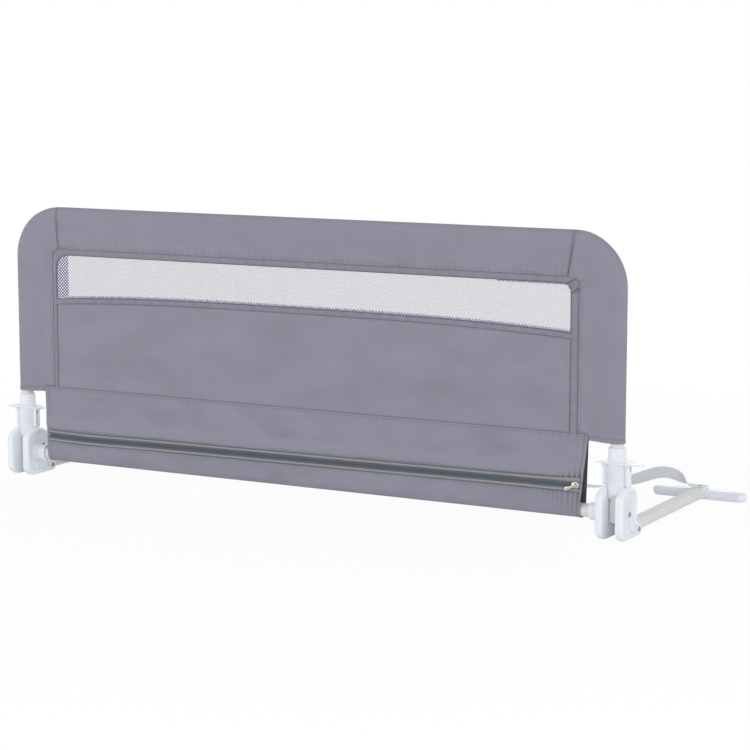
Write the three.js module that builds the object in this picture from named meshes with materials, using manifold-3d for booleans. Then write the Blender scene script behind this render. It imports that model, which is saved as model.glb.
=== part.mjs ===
// Folding bed guard rail: a cloth panel on a tube frame that swings on two floor clamps.
// Millimetres, X along the rail, Y back under the mattress, Z up from the floor.
import * as THREE from "three";
import { mergeVertices } from "three/addons/utils/BufferGeometryUtils.js";
import Module from "manifold-3d";

const wasm = await Module();
wasm.setup();

// Shapes given as shares of their piece
const dome_share = 0.6; // flat top of a rivet head
const rib_drop_share = 0.33; // how far ribs stand under the rim, of the recess
const coil_shoulder_share = 0.6;
const arm_share = 0.14; // pull arm, of its width
const rib_angles = [75, 205, 262, 318]; // degrees, from the back, over the top
const grub_degrees = 90;
const chin_share = 0.62; // depth of the neck's lowest point, of the barrel radius

// Frame
const rail_width = 1160; // between the post axes
const rail_height = 435.4; // bottom tube axis to top tube axis
const tube_diameter = 22;
const tube_wall = 1.2;
const corner_radius = 78; // bend of the corner tube, on its axis
const joint_reach = 60; // straight part of the corner tube along the top
const spigot_length = 30;
const fit = 0.3; // clearance between pieces that touch

// Clamps
const lobe_radius = 44.5;
const front_flat = 10.5; // how far the flat front cuts into the lobes' circle
const rear_flat = 13.5;
const floor_flat = 3.5;
const lobe_thickness = 12.7;
const lobe_edge = 2; // rounding of the lobe outline
const lobe_rim = 4;
const recess_depth = 4.5;
const rib_width = 2.4;
const boss_diameter = 30;
const boss_length = 20;
const rivet_boss = 9; // radius of the raised seat under a rivet head
const back_clearance = 1.83; // end of the post to the back wall, as the rail swings
const back_wall = 4.5;
const back_wall_rise = 18; // over the pivot
const pivot_rivet_diameter = 8;
const leg_rivet_diameter = 6;
const rivet_head_rise = 2.2;
const rivet_head_lip = 2.6;
const grub_diameter = 4.2;
const post_end = 17.5; // pivot axis to the end of the post
const plug_flange = 3;
const plug_depth = 6;

// Latch sleeve
const barrel_diameter = 30;
const swing_clearance = 1; // between the lobes' circle and what swings past it
const bar_height = 35.5; // side bar, up to the underside of the wing
const neck_reach = 20.5; // how far the neck reaches below the side bars
const collar_diameter = 29.4;
const collar_top_diameter = 28.4;
const collar_height = 22;
const wing_thickness = 3;
const wing_outer = 46.5;
const wing_inner = 37.5;
const wing_depth = 34;
const bar_gap = 1; // between the barrel and a side bar
const bar_width = 7;
const bar_depth = 12;
const spring_room_height = 27.5;
const spring_room_roof = 3.5; // under the wing
const spring_room_wall = 1.6;
const spring_wire = 1;
const spring_turns = 5;
const stop_ring_height = 3;

// Legs and feet
const leg_clearance = 6.75; // between the back wall and a leg folded up
const leg_width = 20;
const leg_height = 16.5;
const leg_floor_gap = 1.8;
const leg_wall = 1.2;
const heel_lip = 0.45; // of the lobe round the leg rivet, on its height over the floor
const leg_solid = 10; // moulded end round the rivet
const foot_back = 386.5; // pivot axis to the back of the foot
const foot_length = 170;
const foot_depth = 28;
const foot_height = 16;
const foot_edge = 4;
const hub_wall = 2.2;
const hub_depth = 30;
const hub_roof = 1.4;
const hub_edge = 2;
const leg_seat = 20; // leg inside the hub
const pin_diameter = 5;
const strap_width = 20;
const strap_thickness = 1.6;
const strap_rivet_diameter = 4;
const strap_rivet_head = 8;
const strap_rivet_rise = 0.8;

// Cloth
const cloth = 1;
const seam_thickness = 2.4;
const seam_allowance = 4;
const panel_cloth = 1.2;
const side_margin = 10; // side seam to the centre of the corner bend
const top_margin = 16.6; // top seam to the centre of the corner bend
const skirt_gap = 7; // collar to the open lower end of a side sleeve
const band_rise = 9; // open end of the side sleeves to the band seam
const band_left_gap = 17.5; // between the inner lobe and the band, at the band seam
const band_right_gap = 25.5;
const band_left_taper = 12; // each end leans in towards the bottom tube
const band_right_taper = 8.5;
const window_height = 66.5; // in the middle
const sill_bow = 12; // ends of the sill below its middle
const sill_power = 3;
const sill_binding = 11.5;
const head_binding = 12;
const side_binding = 15;
const net_corner = 10;
const net_strand = 1.6;
const net_thickness = 0.8;
const net_columns = 40;
const net_rows = 4;

// Zipper
const zip_left_inset = 11.5; // from the end of the band seam
const zip_right_inset = 9.5;
const zip_right_rise = 40.5; // over the bottom tube axis
const zip_left_rise = 33.5;
const tape_width = 9.4;
const tape_thickness = 0.8;
const coil_width = 3.4;
const coil_height = 1.8;
const slider_length = 11;
const slider_width = 8;
const slider_plate = 1.2;
const slider_place = 8; // right end of the zip to the middle of the slider
const bridge_length = 5.6;
const bridge_width = 2.2;
const bridge_height = 2.6;
const bridge_wire = 0.8;
const pull_length = 19;
const pull_width = 7.4;
const pull_thickness = 1.1;
const pull_eye = 3.6; // swing radius kept free round the bridge
const pull_droop = 25; // degrees that the pull hangs below the zip

// Facets
const tube_sides = 18;
const hole_sides = 14;
const arc_steps = 8;
const sill_steps = 24;
const spring_steps = 12;
const wire_sides = 5;
const overrun = 2; // how far a cutting tool stands out of what it cuts
const weld = 1e-4;
const turn = 2 * Math.PI;

// Places that follow from the sizes
const post_x = rail_width / 2;
const tube_radius = tube_diameter / 2;
const tube_bore = tube_radius - tube_wall;
const pivot_height = lobe_radius - floor_flat; // bottom tube axis over the floor
const lobe_front = lobe_radius - front_flat;
const lobe_rear = lobe_radius - rear_flat;
const back_wall_near = Math.hypot(post_end, tube_radius) + back_clearance;
const leg_pivot_back = back_wall_near + back_wall + leg_clearance + leg_height / 2;
const top_z = pivot_height + rail_height;
const bend_x = post_x - corner_radius;
const bend_z = top_z - corner_radius;
const side_reach = corner_radius - side_margin; // post axis to the side seam
const top_reach = corner_radius - top_margin; // top tube axis to the top seam
const bar_foot = pivot_height + lobe_radius + swing_clearance;
const neck_bottom = bar_foot - neck_reach;
const barrel_top = bar_foot + bar_height; // underside of the wing
const collar_top = barrel_top + wing_thickness + collar_height;
const spring_room_top = barrel_top - spring_room_roof;
const spring_room_bottom = spring_room_top - spring_room_height;
const bar_near = barrel_diameter / 2 + bar_gap;
const skirt_height = collar_top + skirt_gap;
const band_z = skirt_height + band_rise;
const band_height = band_z - pivot_height;
const sleeve_bore = (tube_radius + fit) / Math.cos(turn / 4 / arc_steps);
const seam_half = seam_thickness / 2;
const window_left = post_x - side_reach - fit;
const window_head = top_z - top_reach - head_binding;
const window_sill = window_head - window_height; // middle of the window's lower edge
const lobe_gap = tube_radius + fit; // post axis to the near face of a lobe
const lobe_out = lobe_gap + lobe_thickness;
const band_left = post_x - lobe_out - band_left_gap;
const band_right = post_x - lobe_out - band_right_gap;
const leg_z = leg_floor_gap + leg_height / 2;
const heel_radius = leg_z + heel_lip; // lobe round the leg rivet
const hub_width = leg_width + 2 * (fit + hub_wall);
const hub_height = leg_floor_gap + leg_height + fit + hub_roof;
const foot_y = foot_back - foot_depth / 2;
const hub_front = foot_back - hub_depth;
const leg_end = hub_front + leg_seat;
const rivet_seat = lobe_out - recess_depth * rib_drop_share; // face of the seats under rivet heads
const spring_room = barrel_diameter / 2 - spring_room_wall;

// Colours
const shades = {
  cloth: { color: 0x8e8e9b, roughness: 0.9, metalness: 0 },
  binding: { color: 0x888896, roughness: 0.9, metalness: 0 },
  net: { color: 0xdddde2, roughness: 0.8, metalness: 0 },
  tape: { color: 0x6c7077, roughness: 0.9, metalness: 0 },
  coil: { color: 0x4f555d, roughness: 0.7, metalness: 0 },
  plastic: { color: 0xdee3eb, roughness: 0.45, metalness: 0 },
  tube: { color: 0xe2e1de, roughness: 0.35, metalness: 0 },
  leg: { color: 0xd6d8d5, roughness: 0.4, metalness: 0 },
  steel: { color: 0xb4b8bd, roughness: 0.3, metalness: 1 },
  brass: { color: 0xc9b08a, roughness: 0.35, metalness: 1 },
  webbing: { color: 0xbabec6, roughness: 0.9, metalness: 0 },
};

// Solids from closed surfaces, and back
function solid(geometry) {
  const source = geometry.index ? geometry.toNonIndexed() : geometry;
  const bare = new THREE.BufferGeometry();
  bare.setAttribute("position", source.getAttribute("position"));
  const merged = mergeVertices(bare, weld);
  const mesh = new wasm.Mesh({
    numProp: 3,
    vertProperties: merged.attributes.position.array,
    triVerts: new Uint32Array(merged.index.array),
  });
  return new wasm.Manifold(mesh);
}

function surface(body) {
  const mesh = body.getMesh();
  const geometry = new THREE.BufferGeometry();
  geometry.setAttribute("position", new THREE.BufferAttribute(mesh.vertProperties, mesh.numProp));
  geometry.setIndex(new THREE.BufferAttribute(mesh.triVerts, 1));
  geometry.computeVertexNormals();
  return geometry;
}

function joined(...geometries) {
  return surface(geometries.map(solid).reduce((a, b) => a.add(b)));
}

function cut(base, ...tools) {
  return surface(tools.map(solid).reduce((a, b) => a.subtract(b), solid(base)));
}

// A named piece in a group
function piece(group, name, geometry, shade) {
  const mesh = new THREE.Mesh(geometry, new THREE.MeshStandardMaterial(shades[shade]));
  mesh.name = name;
  group.add(mesh);
  return mesh;
}

// Closed surface over rows of points; the rows close on each other when looped
function lofted(rings, looped) {
  const count = rings[0].length;
  const points = rings.flat();
  const faces = [];
  const rows = looped ? rings.length : rings.length - 1;
  for (let i = 0; i < rows; i++) {
    const j = (i + 1) % rings.length;
    for (let k = 0; k < count; k++) {
      const m = (k + 1) % count;
      faces.push(i * count + k, i * count + m, j * count + k);
      faces.push(i * count + m, j * count + m, j * count + k);
    }
  }
  if (!looped) {
    const last = (rings.length - 1) * count;
    for (let k = 1; k < count - 1; k++) {
      faces.push(0, k + 1, k);
      faces.push(last, last + k, last + k + 1);
    }
  }
  const geometry = new THREE.BufferGeometry().setFromPoints(points);
  geometry.setIndex(facing_out(points, faces));
  geometry.computeVertexNormals();
  return geometry;
}

// Turns every face round when together they enclose a negative volume
function facing_out(points, faces) {
  let volume = 0;
  for (let i = 0; i < faces.length; i += 3) {
    const [a, b, c] = [points[faces[i]], points[faces[i + 1]], points[faces[i + 2]]];
    volume += a.dot(new THREE.Vector3().crossVectors(b, c));
  }
  return volume > 0 ? faces : faces.slice().reverse();
}

function shell(outer, inner) {
  return lofted([...outer, ...inner.slice().reverse()], true);
}

// Blocks and rods between named planes
function block(x0, x1, y0, y1, z0, z1) {
  const box = new THREE.BoxGeometry(x1 - x0, y1 - y0, z1 - z0);
  return box.translate((x0 + x1) / 2, (y0 + y1) / 2, (z0 + z1) / 2);
}

function rod_z(radius, z0, z1, sides = tube_sides) {
  const rod = new THREE.CylinderGeometry(radius, radius, z1 - z0, sides);
  return rod.rotateX(turn / 4).translate(0, 0, (z0 + z1) / 2);
}

function rod_x(radius, x0, x1, y, z, sides = hole_sides) {
  const rod = new THREE.CylinderGeometry(radius, radius, x1 - x0, sides);
  return rod.rotateZ(turn / 4).translate((x0 + x1) / 2, y, z);
}

// Outline in Y and Z, swept along X from x0 to x1
function sheet_x(outline, x0, x1, edge = 0) {
  const options = { depth: x1 - x0 - 2 * edge, bevelEnabled: edge > 0, curveSegments: arc_steps };
  Object.assign(options, { bevelThickness: edge, bevelSize: edge, bevelOffset: -edge });
  options.bevelSegments = 1;
  const sheet = new THREE.ExtrudeGeometry(outline, options);
  sheet.applyMatrix4(new THREE.Matrix4().set(0, 0, 1, 0, 1, 0, 0, 0, 0, 1, 0, 0, 0, 0, 0, 1));
  return sheet.translate(x0 + edge, 0, 0);
}

// Outline in X and Z, as thick as given and centred on Y zero
function sheet_y(outline, thickness) {
  const sheet = new THREE.ExtrudeGeometry(outline, { depth: thickness, bevelEnabled: false });
  return sheet.rotateX(turn / 4).translate(0, thickness / 2, 0);
}

// Closed profile of radius and height pairs, turned about the post axis
function turned(profile) {
  const points = profile.map(([r, z]) => new THREE.Vector2(r, z));
  points.push(points[0]);
  const shape = new THREE.LatheGeometry(points, tube_sides);
  return shape.rotateX(turn / 4);
}

// Drop section of a cloth sleeve: round the tube, drawn to a sewn edge at its reach
function drop(radius, reach, half) {
  const open = Math.acos((radius - half) / reach);
  const points = [[reach, half]];
  for (let i = 0; i <= arc_steps; i++) {
    const angle = open + ((turn - 2 * open) * i) / arc_steps;
    points.push([radius * Math.cos(angle), radius * Math.sin(angle)]);
  }
  points.push([reach, -half]);
  return points;
}

const drop_outer = (reach) => drop(sleeve_bore + cloth, reach, seam_half);
const drop_inner = (reach) => drop(sleeve_bore, reach - seam_allowance, fit);

// Ring of a section: centre, unit vector to its sewn edge, thickness along Y
function ring(section, centre, inward) {
  return section.map(([a, b]) => centre.clone().addScaledVector(inward, a).add(new THREE.Vector3(0, b, 0)));
}

function circle_ring(radius, centre, outward) {
  const points = [];
  for (let i = 0; i < tube_sides; i++) {
    const angle = (turn * i) / tube_sides;
    points.push([radius * Math.cos(angle), radius * Math.sin(angle)]);
  }
  return ring(points, centre, outward);
}

// Stations on the right post and round its corner, from z0 up: centre, inward vector, share of the bend
function corner_stations(z0) {
  const stations = [{ at: new THREE.Vector3(post_x, 0, z0), bend: 0 }];
  for (let i = 0; i <= arc_steps; i++) {
    const bend = i / arc_steps;
    const angle = (bend * turn) / 4;
    const out = new THREE.Vector3(Math.cos(angle), 0, Math.sin(angle));
    const at = new THREE.Vector3(bend_x, 0, bend_z).addScaledVector(out, corner_radius);
    stations.push({ at, bend });
  }
  return stations.map((s) => {
    const angle = (s.bend * turn) / 4;
    return { ...s, inward: new THREE.Vector3(-Math.cos(angle), 0, -Math.sin(angle)) };
  });
}

// Everything on one side is built for the right and mirrored for the left
function corner_tube() {
  const stations = corner_stations(pivot_height - post_end + plug_flange + fit);
  const last = stations[stations.length - 1];
  stations.push({ ...last, at: last.at.clone().setX(bend_x - joint_reach) });
  const outer = stations.map((s) => circle_ring(tube_radius, s.at, s.inward));
  const inner = stations.map((s) => circle_ring(tube_bore, s.at, s.inward));
  const spigot_outer = tube_bore - fit;
  const spigot_inner = spigot_outer - tube_wall;
  const shoulder = last.at.clone().setX(bend_x - joint_reach);
  const tip = last.at.clone().setX(bend_x - joint_reach - spigot_length);
  outer.push(circle_ring(spigot_outer, shoulder, last.inward), circle_ring(spigot_outer, tip, last.inward));
  inner.pop();
  inner.push(circle_ring(spigot_inner, shoulder, last.inward), circle_ring(spigot_inner, tip, last.inward));
  const tube = shell(outer, inner);
  const hole = pivot_rivet_diameter / 2 + fit;
  return cut(tube, rod_x(hole, post_x - tube_diameter, post_x + tube_diameter, 0, pivot_height));
}

function side_sleeve(band_end) {
  const stations = corner_stations(skirt_height);
  const reach = (s) => side_reach + (top_reach - side_reach) * s.bend;
  const outer = stations.map((s) => ring(drop_outer(reach(s)), s.at, s.inward));
  const inner = stations.map((s) => ring(drop_inner(reach(s)), s.at, s.inward));
  const seam = post_x - side_reach - overrun;
  const over = block(seam, band_end + fit, -tube_diameter, tube_diameter, skirt_height - overrun, band_z + fit);
  return cut(shell(outer, inner), over);
}

function lobe_outline(inset) {
  const r = lobe_radius - inset;
  const front = lobe_front - inset;
  const rear = lobe_rear - inset;
  const low = inset;
  const heel = heel_radius - inset;
  const outline = new THREE.Shape();
  const angle_low = Math.asin((pivot_height - low) / r);
  const angle_front = Math.acos(front / r);
  const angle_rear = Math.acos(rear / r);
  const heel_low = Math.asin((leg_z - low) / heel);
  outline.moveTo(-r * Math.cos(angle_low), low);
  outline.absarc(leg_pivot_back, leg_z, heel, -heel_low, turn / 6, false);
  outline.lineTo(rear, leg_z + leg_height);
  outline.lineTo(rear, pivot_height + r * Math.sin(angle_rear));
  outline.absarc(0, pivot_height, r, angle_rear, turn / 2 - angle_front, false);
  outline.lineTo(-front, pivot_height - r * Math.sin(angle_front));
  outline.absarc(0, pivot_height, r, turn / 2 + angle_front, turn / 2 + angle_low, false);
  return outline;
}

// A rib on the floor of a recess, from the pivot outwards, trimmed by the rim
function rib(angle, x0, x1) {
  const bar = block(x0, x1, 0, lobe_radius, -rib_width / 2, rib_width / 2);
  return bar.rotateX(angle).translate(0, 0, pivot_height);
}

// Lobe with its recess towards out (1 outer lobe, -1 inner lobe), about the post axis
function lobe(out) {
  const near = Math.min(out * lobe_gap, out * lobe_out);
  const far = Math.max(out * lobe_gap, out * lobe_out);
  const plate = sheet_x(lobe_outline(0), near, far, lobe_edge);
  const face = out * lobe_out;
  const floor = out * (lobe_out - recess_depth);
  const low = Math.min(floor, face + out * overrun);
  const high = Math.max(floor, face + out * overrun);
  const recess = solid(sheet_x(lobe_outline(lobe_rim), low, high));
  const rib_high = out * rivet_seat;
  const span = [Math.min(floor - out * overrun, rib_high), Math.max(floor - out * overrun, rib_high)];
  let ribs = solid(rod_x(rivet_boss, span[0], span[1], 0, pivot_height));
  ribs = ribs.add(solid(rod_x(leg_z - lobe_edge, span[0], span[1], leg_pivot_back, leg_z)));
  for (const degrees of rib_angles) {
    ribs = ribs.add(solid(rib((degrees * turn) / 360, span[0], span[1])));
  }
  const kept = recess.intersect(ribs);
  return solid(plate).subtract(recess.subtract(kept));
}

// Holes for both rivets, and the round recess that the leg rivet's head sits in
function rivet_holes(body) {
  const wide = lobe_out + overrun;
  const pivot = rod_x(pivot_rivet_diameter / 2 + fit, -wide, wide, 0, pivot_height);
  const leg = rod_x(leg_rivet_diameter / 2 + fit, -wide, wide, leg_pivot_back, leg_z);
  const head = leg_rivet_diameter / 2 + rivet_head_lip + fit;
  const heads = [rod_x(head, rivet_seat, wide, leg_pivot_back, leg_z)];
  heads.push(rod_x(head, -wide, -rivet_seat, leg_pivot_back, leg_z));
  return [pivot, leg, ...heads].map(solid).reduce((a, b) => a.subtract(b), body);
}

// Grub screw axis: down through the boss to the bottom tube
function grub(radius, from, to) {
  const rod = new THREE.CylinderGeometry(radius, radius, to - from, hole_sides);
  rod.translate(0, (from + to) / 2, 0).rotateX((grub_degrees * turn) / 360);
  return rod.translate(-lobe_out - boss_length / 2, 0, pivot_height);
}

function inner_lobe() {
  const boss_end = -lobe_out - boss_length;
  const floor = -lobe_out + recess_depth + overrun;
  let body = lobe(-1).add(solid(rod_x(boss_diameter / 2, boss_end, floor, 0, pivot_height, tube_sides)));
  const wall_high = back_wall_near + back_wall;
  const wall_top = pivot_height + back_wall_rise;
  const web = block(-lobe_gap - overrun, lobe_gap - fit, back_wall_near, wall_high, lobe_edge, wall_top);
  body = body.add(solid(web));
  const bore = rod_x(tube_radius + fit, boss_end - overrun, -lobe_out, 0, pivot_height, tube_sides);
  body = body.subtract(solid(bore));
  body = body.subtract(solid(grub(grub_diameter / 2 + fit, tube_radius, boss_diameter)));
  return surface(rivet_holes(body));
}

function outer_lobe() {
  return surface(rivet_holes(lobe(1)));
}

// Rivet along X with a low domed head at each end of its grip
function rivet(diameter, x0, x1, y, z) {
  const head = diameter / 2 + rivet_head_lip;
  const profile = [
    new THREE.Vector2(0, x0 - rivet_head_rise),
    new THREE.Vector2(head * dome_share, x0 - rivet_head_rise),
    new THREE.Vector2(head, x0),
    new THREE.Vector2(diameter / 2, x0),
    new THREE.Vector2(diameter / 2, x1),
    new THREE.Vector2(head, x1),
    new THREE.Vector2(head * dome_share, x1 + rivet_head_rise),
    new THREE.Vector2(0, x1 + rivet_head_rise),
  ];
  return new THREE.LatheGeometry(profile, hole_sides).rotateZ(-turn / 4).translate(0, y, z);
}

function post_plug() {
  const end = pivot_height - post_end;
  const skirt = tube_bore - fit;
  const top = end + plug_flange + fit + plug_depth;
  const profile = [
    [0, end],
    [tube_radius - lobe_edge, end],
    [tube_radius, end + lobe_edge],
    [tube_radius, end + plug_flange],
    [skirt, end + plug_flange],
    [skirt, top],
    [0, top],
  ];
  const points = profile.map(([r, z]) => new THREE.Vector2(r, z));
  return new THREE.LatheGeometry(points, tube_sides).rotateX(turn / 4);
}

// Sleeve that slides on the post: neck between the lobes, barrel, wing, collar and two side bars
function latch_sleeve() {
  const bore = tube_radius + fit;
  const barrel = barrel_diameter / 2;
  const ledge = spring_room_bottom;
  const body = turned([
    [bore, neck_bottom],
    [barrel, neck_bottom],
    [barrel, barrel_top + wing_thickness / 2],
    [collar_diameter / 2, barrel_top + wing_thickness / 2],
    [collar_top_diameter / 2, collar_top],
    [bore, collar_top],
    [bore, spring_room_top],
    [spring_room, spring_room_top],
    [spring_room, ledge],
    [bore, ledge],
  ]);
  const wide = barrel_diameter;
  const neck_half = lobe_gap - fit;
  const cheek = (x0, x1) => solid(block(x0, x1, -wide, wide, neck_bottom - overrun, bar_foot));
  let sleeve = solid(body);
  sleeve = sleeve.subtract(cheek(neck_half, wide)).subtract(cheek(-wide, -neck_half));
  sleeve = sleeve.subtract(solid(sheet_x(chin_outline(barrel * chin_share, bar_foot), -wide, wide)));
  const wing = solid(wing_plate());
  const bars = [bar_near, -bar_near - bar_width].map((x) =>
    solid(block(x, x + bar_width, -bar_depth / 2, bar_depth / 2, bar_foot, barrel_top + wing_thickness / 2)),
  );
  sleeve = sleeve.add(wing).add(bars[0]).add(bars[1]);
  return surface(sleeve.subtract(solid(rod_z(bore, barrel_top - overrun, collar_top))));
}

// Wedge that slopes the front of the neck down to its lowest point
function chin_outline(near, high) {
  const outline = new THREE.Shape();
  outline.moveTo(-barrel_diameter, neck_bottom - overrun);
  outline.lineTo(-near, neck_bottom - overrun);
  outline.lineTo(-near, neck_bottom);
  outline.quadraticCurveTo(-barrel_diameter / 2, neck_bottom + overrun, -barrel_diameter / 2, high);
  outline.lineTo(-barrel_diameter, high);
  return outline;
}

function wing_plate() {
  const half = (wing_outer + wing_inner) / 2;
  const outline = new THREE.Shape();
  outline.absellipse((wing_outer - wing_inner) / 2, 0, half, wing_depth / 2, 0, turn);
  const options = { depth: wing_thickness, bevelEnabled: false, curveSegments: hole_sides };
  return new THREE.ExtrudeGeometry(outline, options).translate(0, 0, barrel_top);
}

function stop_ring() {
  const near = tube_radius + fit;
  const far = spring_room - fit;
  const high = spring_room_top - fit;
  const low = high - stop_ring_height;
  return turned([[near, low], [far, low], [far, high], [near, high]]);
}

// Compression spring round the post, one unbroken wire
function latch_spring() {
  const low = spring_room_bottom + fit + spring_wire / 2;
  const high = spring_room_top - stop_ring_height - 2 * fit - spring_wire / 2;
  const radius = (tube_radius + spring_room) / 2;
  const steps = spring_turns * spring_steps;
  const rings = [];
  for (let i = 0; i <= steps; i++) {
    const angle = (turn * i) / spring_steps;
    const out = new THREE.Vector3(Math.cos(angle), Math.sin(angle), 0);
    const centre = out.clone().multiplyScalar(radius).setZ(low + ((high - low) * i) / steps);
    const points = [];
    for (let k = 0; k < wire_sides; k++) {
      const round = (turn * k) / wire_sides;
      const across = (Math.cos(round) * spring_wire) / 2;
      const rise = (Math.sin(round) * spring_wire) / 2;
      points.push(centre.clone().addScaledVector(out, across).add(new THREE.Vector3(0, 0, rise)));
    }
    rings.push(points);
  }
  console.log("spring gap to itself", ((high - low) / spring_turns - spring_wire).toFixed(2), "mm");
  return lofted(rings, false);
}

function leg_tube() {
  const half = leg_height / 2;
  const outline = new THREE.Shape();
  outline.moveTo(leg_end, leg_z - half);
  outline.lineTo(leg_end, leg_z + half);
  outline.lineTo(leg_pivot_back, leg_z + half);
  outline.absarc(leg_pivot_back, leg_z, half, turn / 4, (3 * turn) / 4, false);
  const bar = sheet_x(outline, -leg_width / 2, leg_width / 2);
  const inner_x = leg_width / 2 - leg_wall;
  const inner_z = half - leg_wall;
  const start = leg_pivot_back + leg_solid;
  const hollow = block(-inner_x, inner_x, start, leg_end + overrun, leg_z - inner_z, leg_z + inner_z);
  const hole = rod_x(leg_rivet_diameter / 2 + fit, -leg_width, leg_width, leg_pivot_back, leg_z);
  return cut(bar, hollow, hole, foot_pin(pin_diameter / 2 + fit, leg_width));
}

function foot_pin(radius, half) {
  return rod_x(radius, -half, half, leg_end - leg_seat / 2, leg_z);
}

// Middle of the foot: square block with its upper edges cut back
function hub_block() {
  const half = hub_width / 2;
  const cap = half - hub_edge;
  const shoulder = hub_height - hub_edge;
  const base = solid(block(-half, half, hub_front, foot_back - foot_edge, 0, shoulder));
  return base.add(solid(block(-cap, cap, hub_front, foot_back - foot_edge - hub_edge, 0, hub_height)));
}

function foot() {
  const end = foot_depth / 2;
  const straight = foot_length / 2 - end;
  const outline = new THREE.Shape();
  outline.absarc(straight, foot_y, end, -turn / 4, turn / 4, false);
  outline.absarc(-straight, foot_y, end, turn / 4, (3 * turn) / 4, false);
  const options = { depth: foot_height - 2 * foot_edge, bevelEnabled: true, curveSegments: arc_steps };
  Object.assign(options, { bevelThickness: foot_edge, bevelSize: foot_edge, bevelOffset: -foot_edge });
  options.bevelSegments = 2;
  const bar = solid(new THREE.ExtrudeGeometry(outline, options).translate(0, 0, foot_edge));
  const hub = hub_block();
  const seat_x = leg_width / 2 + fit;
  const seat_z = leg_height / 2 + fit;
  const seat = block(-seat_x, seat_x, hub_front - overrun, leg_end + fit, leg_z - seat_z, leg_z + seat_z);
  const strap_hole = rod_z(strap_rivet_diameter / 2 + fit, leg_z + seat_z, hub_height + overrun, hole_sides);
  const body = bar.add(hub).subtract(solid(seat));
  const pinned = body.subtract(solid(foot_pin(pin_diameter / 2 + fit, hub_width)));
  return surface(pinned.subtract(solid(strap_hole.translate(0, foot_y, 0))));
}

function strap_rivet() {
  const shank = strap_rivet_diameter / 2;
  const head = strap_rivet_head / 2;
  const low = leg_z + leg_height / 2 + 2 * fit;
  const seat = hub_height + strap_thickness + 2 * fit;
  const profile = [
    [0, low],
    [shank, low],
    [shank, seat],
    [head, seat],
    [head * dome_share, seat + strap_rivet_rise],
    [0, seat + strap_rivet_rise],
  ];
  const points = profile.map(([r, z]) => new THREE.Vector2(r, z));
  return new THREE.LatheGeometry(points, hole_sides).rotateX(turn / 4).translate(0, foot_y, 0);
}

// Strap route, right half, by hand: X, Y, height of its middle and twist in degrees (0 flat, 90 on edge)
const strap_route = [
  [590, 371.5, 21.1, 0],
  [580, 371.5, 21.1, 0],
  [569, 371.5, 21.2, 0],
  [561, 371.5, 22.4, 8],
  [554, 371.3, 26, 34],
  [546, 371, 31.5, 66],
  [536, 371, 36.5, 82],
  [520, 371, 39.2, 87],
  [503, 371, 37.5, 87],
  [484, 371.5, 31, 82],
  [465, 372, 23.5, 72],
  [446, 372.5, 16.4, 56],
  [427, 372.5, 9.6, 36],
  [408, 372.5, 4.6, 16],
  [388, 372.5, 1.6, 3],
  [366, 372.5, 1.1, 0],
  [330, 372.5, 1.1, 0],
  [260, 372, 1.1, 0],
  [170, 371, 1.1, 0],
  [80, 370.5, 1.1, 0],
];

function strap() {
  const mirrored = strap_route.map(([x, y, z, t]) => [-x, y, z, -t]).reverse();
  const route = [...strap_route, ...mirrored];
  const points = route.map(([x, y, z]) => new THREE.Vector3(x, y, z));
  const half_width = strap_width / 2;
  const half_thick = strap_thickness / 2;
  const rings = points.map((p, i) => {
    const before = points[Math.max(0, i - 1)];
    const after = points[Math.min(points.length - 1, i + 1)];
    const ahead = after.clone().sub(before).normalize();
    const level = new THREE.Vector3(0, 1, 0);
    level.addScaledVector(ahead, -level.dot(ahead)).normalize();
    const across = level.applyAxisAngle(ahead, (route[i][3] * turn) / 360);
    const up = new THREE.Vector3().crossVectors(across, ahead).normalize();
    const corners = [[1, 1], [-1, 1], [-1, -1], [1, -1]];
    return corners.map(([a, b]) =>
      p.clone().addScaledVector(across, a * half_width).addScaledVector(up, b * half_thick),
    );
  });
  const hole = strap_rivet_diameter / 2 + fit;
  const holes = [post_x, -post_x].map((x) =>
    rod_z(hole, hub_height - overrun, hub_height + rivet_head_rise + overrun, hole_sides).translate(x, foot_y, 0),
  );
  return cut(lofted(rings, false), ...holes);
}

// Cloth between the sleeves
function sill(x) {
  return window_sill - sill_bow * Math.pow(Math.abs(x) / window_left, sill_power);
}

function sill_points(x0, x1, drop_by) {
  const points = [];
  for (let i = 0; i <= sill_steps; i++) {
    const x = x0 + ((x1 - x0) * i) / sill_steps;
    points.push(new THREE.Vector2(x, sill(x) - drop_by));
  }
  return points;
}

function centre_panel() {
  const edge = sill_points(-window_left, window_left, sill_binding + fit);
  const low = [new THREE.Vector2(window_left, band_z + fit), new THREE.Vector2(-window_left, band_z + fit)];
  return sheet_y(new THREE.Shape([...edge, ...low]), panel_cloth);
}

function bottom_binding() {
  const upper = sill_points(-window_left, window_left, 0);
  const lower = sill_points(-window_left, window_left, sill_binding).reverse();
  return sheet_y(new THREE.Shape([...upper, ...lower]), seam_thickness);
}

function top_binding() {
  const half = bend_x - fit;
  return block(-half, half, -seam_half, seam_half, window_head, window_head + head_binding - fit);
}

const net_right = window_left - side_binding;

function right_binding() {
  const head = window_head - fit;
  const outline = new THREE.Shape(sill_points(net_right, window_left, -fit));
  outline.lineTo(window_left, head - net_corner);
  outline.absarc(window_left - net_corner, head - net_corner, net_corner, 0, turn / 4, false);
  outline.lineTo(net_right, head);
  return sheet_y(outline, seam_thickness);
}

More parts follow.
